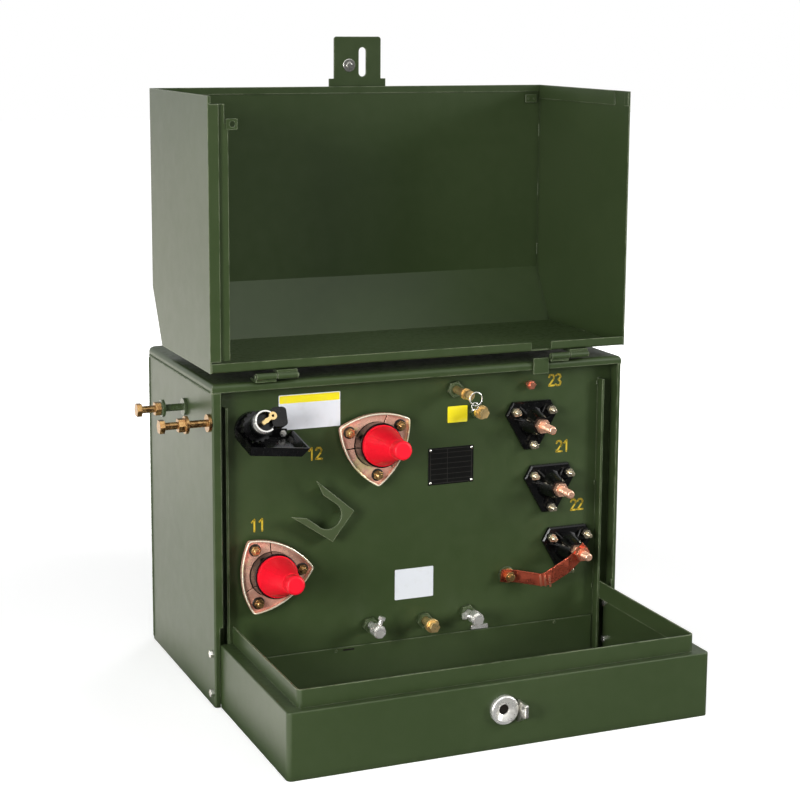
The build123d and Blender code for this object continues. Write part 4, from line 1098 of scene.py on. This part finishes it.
@dataclass
class HoodTrim(Group):
    """Drilled tab on the left flange, spot-welded tab in the right corner, and the hasp bolt's washer."""

    tab: Quad = (-399.0, -377.0, 1095.5, 1115.5)
    tab_y: float = -221.5
    tab_sheet: float = 2.5
    hole: Point = (-386.5, 1105.5, 5.5)
    hole_steps: int = 32
    right_tab: Point = (409.0, 155.0, 1128.0)
    right_size: float = 17.0
    right_sheet: float = 3.0
    spots: Pair = (-7.0, 7.0)
    spot: Pairs = ((2.4, 0.0), (2.0, 0.7), (0.3, 0.9))
    hasp_bolt: Point = (-10.0, 161.4, 1200.0)
    washer: Pairs = ((13.5, 0.0), (13.5, 1.6), (12.6, 2.4), (6.0, 2.4))

    def facing_front(self, place: Point) -> Matrix:
        """Gives a place whose own Z axis points to the front."""
        return Matrix.Translation(place) @ Matrix.Rotation(math.radians(90), 4, "X")

    def drilled_tab(self) -> None:
        """Cuts the left tab round its hole."""
        x0, x1, z0, z1 = self.tab
        hx, hz, radius = self.hole
        at = self.facing_front((hx, self.tab_y, hz))
        outer, inner = [], []
        for i in range(self.hole_steps):
            way = polar(1.0, 360.0 * i / self.hole_steps)
            reach = min((x1 - hx if way.x > 0 else hx - x0) / max(abs(way.x), 1e-6),
                        (z1 - hz if way.y > 0 else hz - z0) / max(abs(way.y), 1e-6))
            outer.append(way * reach)
            inner.append(way * radius)
        sheet = self.tab_sheet
        sections = ((inner, 0.0), (outer, 0.0), (outer, sheet), (inner, sheet), (inner, 0.0))
        piece = PieceMesh()
        piece.loft([[at @ Vector((*p, d)) for p in points] for points, d in sections], capped=False)
        self.add(piece, "hood_tab", Slot.GREEN_PAINT, body=Body.HOOD)

    def welded_tab(self) -> None:
        """Lays the right tab with its two spot welds."""
        piece = PieceMesh()
        face = self.facing_front(self.right_tab)
        piece.slab(face, rectangle(self.right_size * 1.6, self.right_size, 1.5), self.right_sheet, 0.6)
        for offset in self.spots:
            piece.lathe(face @ Matrix.Translation((offset, 0, self.right_sheet)), self.spot, 12)
        self.add(piece, "hood_right_tab", Slot.GREEN_PAINT, body=Body.HOOD)

    def build(self) -> None:
        """Builds the tabs and the washer."""
        self.drilled_tab()
        self.welded_tab()
        washer = PieceMesh()
        washer.lathe(self.facing_front(self.hasp_bolt), self.washer, 32)
        self.add(washer, "hasp_washer", Slot.ZINC_STEEL, body=Body.HOOD)


@dataclass
class SillTrim(Group):
    """Dark disc in the lock's cup and dark slot on the skirt, painted shade where there are holes, and the
    seam's dots.
    """

    lock: Pair = (-10.0, 74.0)
    sill_front: float = -608.0
    dots: Values = (-175.0, 307.0)
    seam: float = 70.0
    slot_x: float = -148.0
    skirt_sheet: float = 3.0
    cup: Pairs = ((9.3, 0.05), (9.3, 0.5), (0.2, 0.5))
    dot: Pairs = ((3.4, 0.0), (3.0, 1.0), (0.3, 1.5))

    def build(self) -> None:
        """Builds the shade disc, dots and slot."""
        x, z = self.lock
        # Painted shade: a near-black disc fills the lock's cup and a near-black slab stands for the skirt's
        # slot.
        dark = PieceMesh()
        at = Matrix.Translation((x, self.sill_front, z)) @ Matrix.Rotation(math.radians(90), 4, "X")
        dark.lathe(at, self.cup, 28)
        dark.slab(out_of_plate(self.slot_x, self.seam, self.skirt_sheet), rectangle(24.0, 3.4, 1.2), 0.4)
        self.add(dark, "lock_and_slot_shade", Slot.ZINC_STEEL, self.finishes.shade_steel)
        spots = PieceMesh()
        for x in self.dots:
            spots.lathe(out_of_plate(x, self.seam, self.skirt_sheet), self.dot, 14)
        self.add(spots, "skirt_spots", Slot.GREEN_PAINT)


@dataclass(frozen=True)
class Lamp:
    """A soft box: its place and target in metres, its power in watts and its beam's angle in degrees."""

    name: str
    place: Point
    target: Point
    size: Pair
    watts: float
    spread: float = 180.0
    mirrored: bool = True

    def hang(self) -> None:
        """Hangs it facing its target, in reflections too if it is mirrored."""
        data = bpy.data.lights.new(self.name, "AREA")
        data.shape = "RECTANGLE"
        data.size, data.size_y = self.size
        data.energy = self.watts
        data.spread = math.radians(self.spread)
        made = bpy.data.objects.new(self.name, data)
        made.location = self.place
        made.visible_glossy = self.mirrored
        made.rotation_euler = (Vector(self.target) - Vector(self.place)).to_track_quat("-Z", "Y").to_euler()
        bpy.context.scene.collection.objects.link(made)


@dataclass
class Studio:
    """Pale floor, soft lamps and the camera."""

    floor_size: float = 40.0
    floor_drop: float = 0.0005
    focal_px: float = 1855.1
    image_px: float = 800.0
    shift_px: float = -64.0
    eye: Point = (-1.419242, -3.458236, 1.294187)
    yaw: float = -22.884
    pitch: float = 9.68
    roll: float = 0.347
    even_light: float = 0.15
    mirror_front: float = 0.05
    mirror_right: float = 0.25
    glow_beside: float = 1.4
    glow_dip: float = 0.5
    glow_rise: float = 0.45
    glow_tint: Colour = (1.0, 0.95, 0.86)
    middle: Point = (0.0, -0.1, 0.5)
    low: Point = (0.0, -0.25, 0.2)

    def floor(self) -> None:
        """Lays the pale floor, white at a distance, and bright in reflections behind and on the left."""
        half = self.floor_size / 2
        mesh = bpy.data.meshes.new("floor")
        corners = [(-half, -half, 0), (half, -half, 0), (half, half, 0), (-half, half, 0)]
        mesh.from_pydata(corners, [], [(0, 1, 2, 3)])
        made = bpy.data.objects.new("floor", mesh)
        made.location.z = -self.floor_drop
        bpy.context.scene.collection.objects.link(made)
        s = Shader("studio_floor")
        away = s.node("ShaderNodeVectorMath", {"operation": "LENGTH"}, {0: s.place()}, "Value")
        behind = s.maths("MAXIMUM", s.step(s.axis("Y"), -0.2, 0.5), s.step(s.axis("X"), -0.43, -0.5))
        glow = s.ray("Camera") * (0.5 + s.step(away, 0.8, 2.4) * 0.5)
        pale = s.node("ShaderNodeBsdfDiffuse", inputs={"Color": (0.86, 0.86, 0.86, 1.0)})
        dim = s.node("ShaderNodeBsdfDiffuse", inputs={"Color": (0.2, 0.2, 0.2, 1.0)})
        ground = s.node("ShaderNodeMixShader", inputs={0: s.ray("Glossy") * (1 - behind), 1: pale, 2: dim})
        lit = s.node("ShaderNodeEmission", inputs={"Color": (1.0, 1.0, 1.0, 1.0), "Strength": glow})
        dip, rise = s.step(s.axis("Y"), -0.3, 0.05) * self.glow_dip, s.step(away, 0.9, 2.5) * self.glow_rise
        mirrored = behind * (self.glow_beside - dip + rise)
        warm = s.node("ShaderNodeEmission", inputs={
            "Color": (*self.glow_tint, 1.0), "Strength": s.ray("Glossy") * mirrored})
        glowing = s.node("ShaderNodeAddShader", inputs={0: lit, 1: warm})
        mesh.materials.append(s.end(s.node("ShaderNodeAddShader", inputs={0: ground, 1: glowing})))

    def world(self) -> None:
        """Sets the white surround, bright in reflections above and behind on the left, and its even light."""
        s = Shader("studio", of_world=True)
        left = s.step(s.axis("X"), 0.1, -0.2)
        behind = s.step(s.axis("Y"), -0.25, 0.3) * (self.mirror_right + left * (1 - self.mirror_right))
        above = s.step(s.axis("Z"), 0.12, 0.5)
        mirrored = self.mirror_front + s.maths("MAXIMUM", behind, above) * (1 - self.mirror_front)
        glossy = s.ray("Glossy") * mirrored
        shown = s.maths("MAXIMUM", s.ray("Camera"), s.ray("Transmission"))
        level = s.maths("MAXIMUM", s.maths("MAXIMUM", shown, glossy), s.ray("Diffuse") * self.even_light)
        back = s.node("ShaderNodeBackground", inputs={"Color": (1.0, 1.0, 1.0, 1.0), "Strength": level})
        bpy.context.scene.world = s.end(back)

    def camera(self) -> None:
        """Stands the camera where the photograph was taken."""
        data = bpy.data.cameras.new("camera")
        data.sensor_width = 36.0
        data.lens = self.focal_px / self.image_px * data.sensor_width
        data.shift_y = self.shift_px / self.image_px
        data.clip_end = 100.0
        made = bpy.data.objects.new("camera", data)
        made.matrix_world = (Matrix.Translation(self.eye) @ Matrix.Rotation(math.radians(self.yaw), 4, "Z")
                             @ Matrix.Rotation(math.radians(90 - self.pitch), 4, "X")
                             @ Matrix.Rotation(math.radians(self.roll), 4, "Z"))
        bpy.context.scene.collection.objects.link(made)
        bpy.context.scene.camera = made

    def build(self) -> None:
        """Sets up the whole studio."""
        bpy.context.scene.view_settings.view_transform = "Standard"
        self.floor()
        self.world()
        for lamp in (
                Lamp("right", (3.2, -2.6, 1.5), self.low, (1.3, 1.8), 11.0, 50.0),
                Lamp("left", (-3.4, -2.7, 1.3), self.low, (1.3, 1.8), 24.0, 70.0),
                Lamp("front", (-0.4, -2.6, 3.2), self.middle, (1.6, 0.9), 20.0),
                Lamp("back_right", (2.6, 3.4, 2.0), self.middle, (1.8, 1.8), 60.0, mirrored=False),
                Lamp("back_left", (-2.6, 3.6, 2.2), self.middle, (1.8, 1.8), 40.0, mirrored=False)):
            lamp.hang()
        self.camera()


def main() -> None:
    """Builds the pieces in order."""
    logging.basicConfig(level=logging.INFO, format="%(message)s")
    finishes = Finishes()
    finishes.dress_frame()
    for group in (Labels, HighVoltageSide, LowVoltageSide, Fittings, Welds, HoodTrim, SillTrim):
        group(finishes).build()
    Studio().build()


if __name__ == "__main__":
    main()
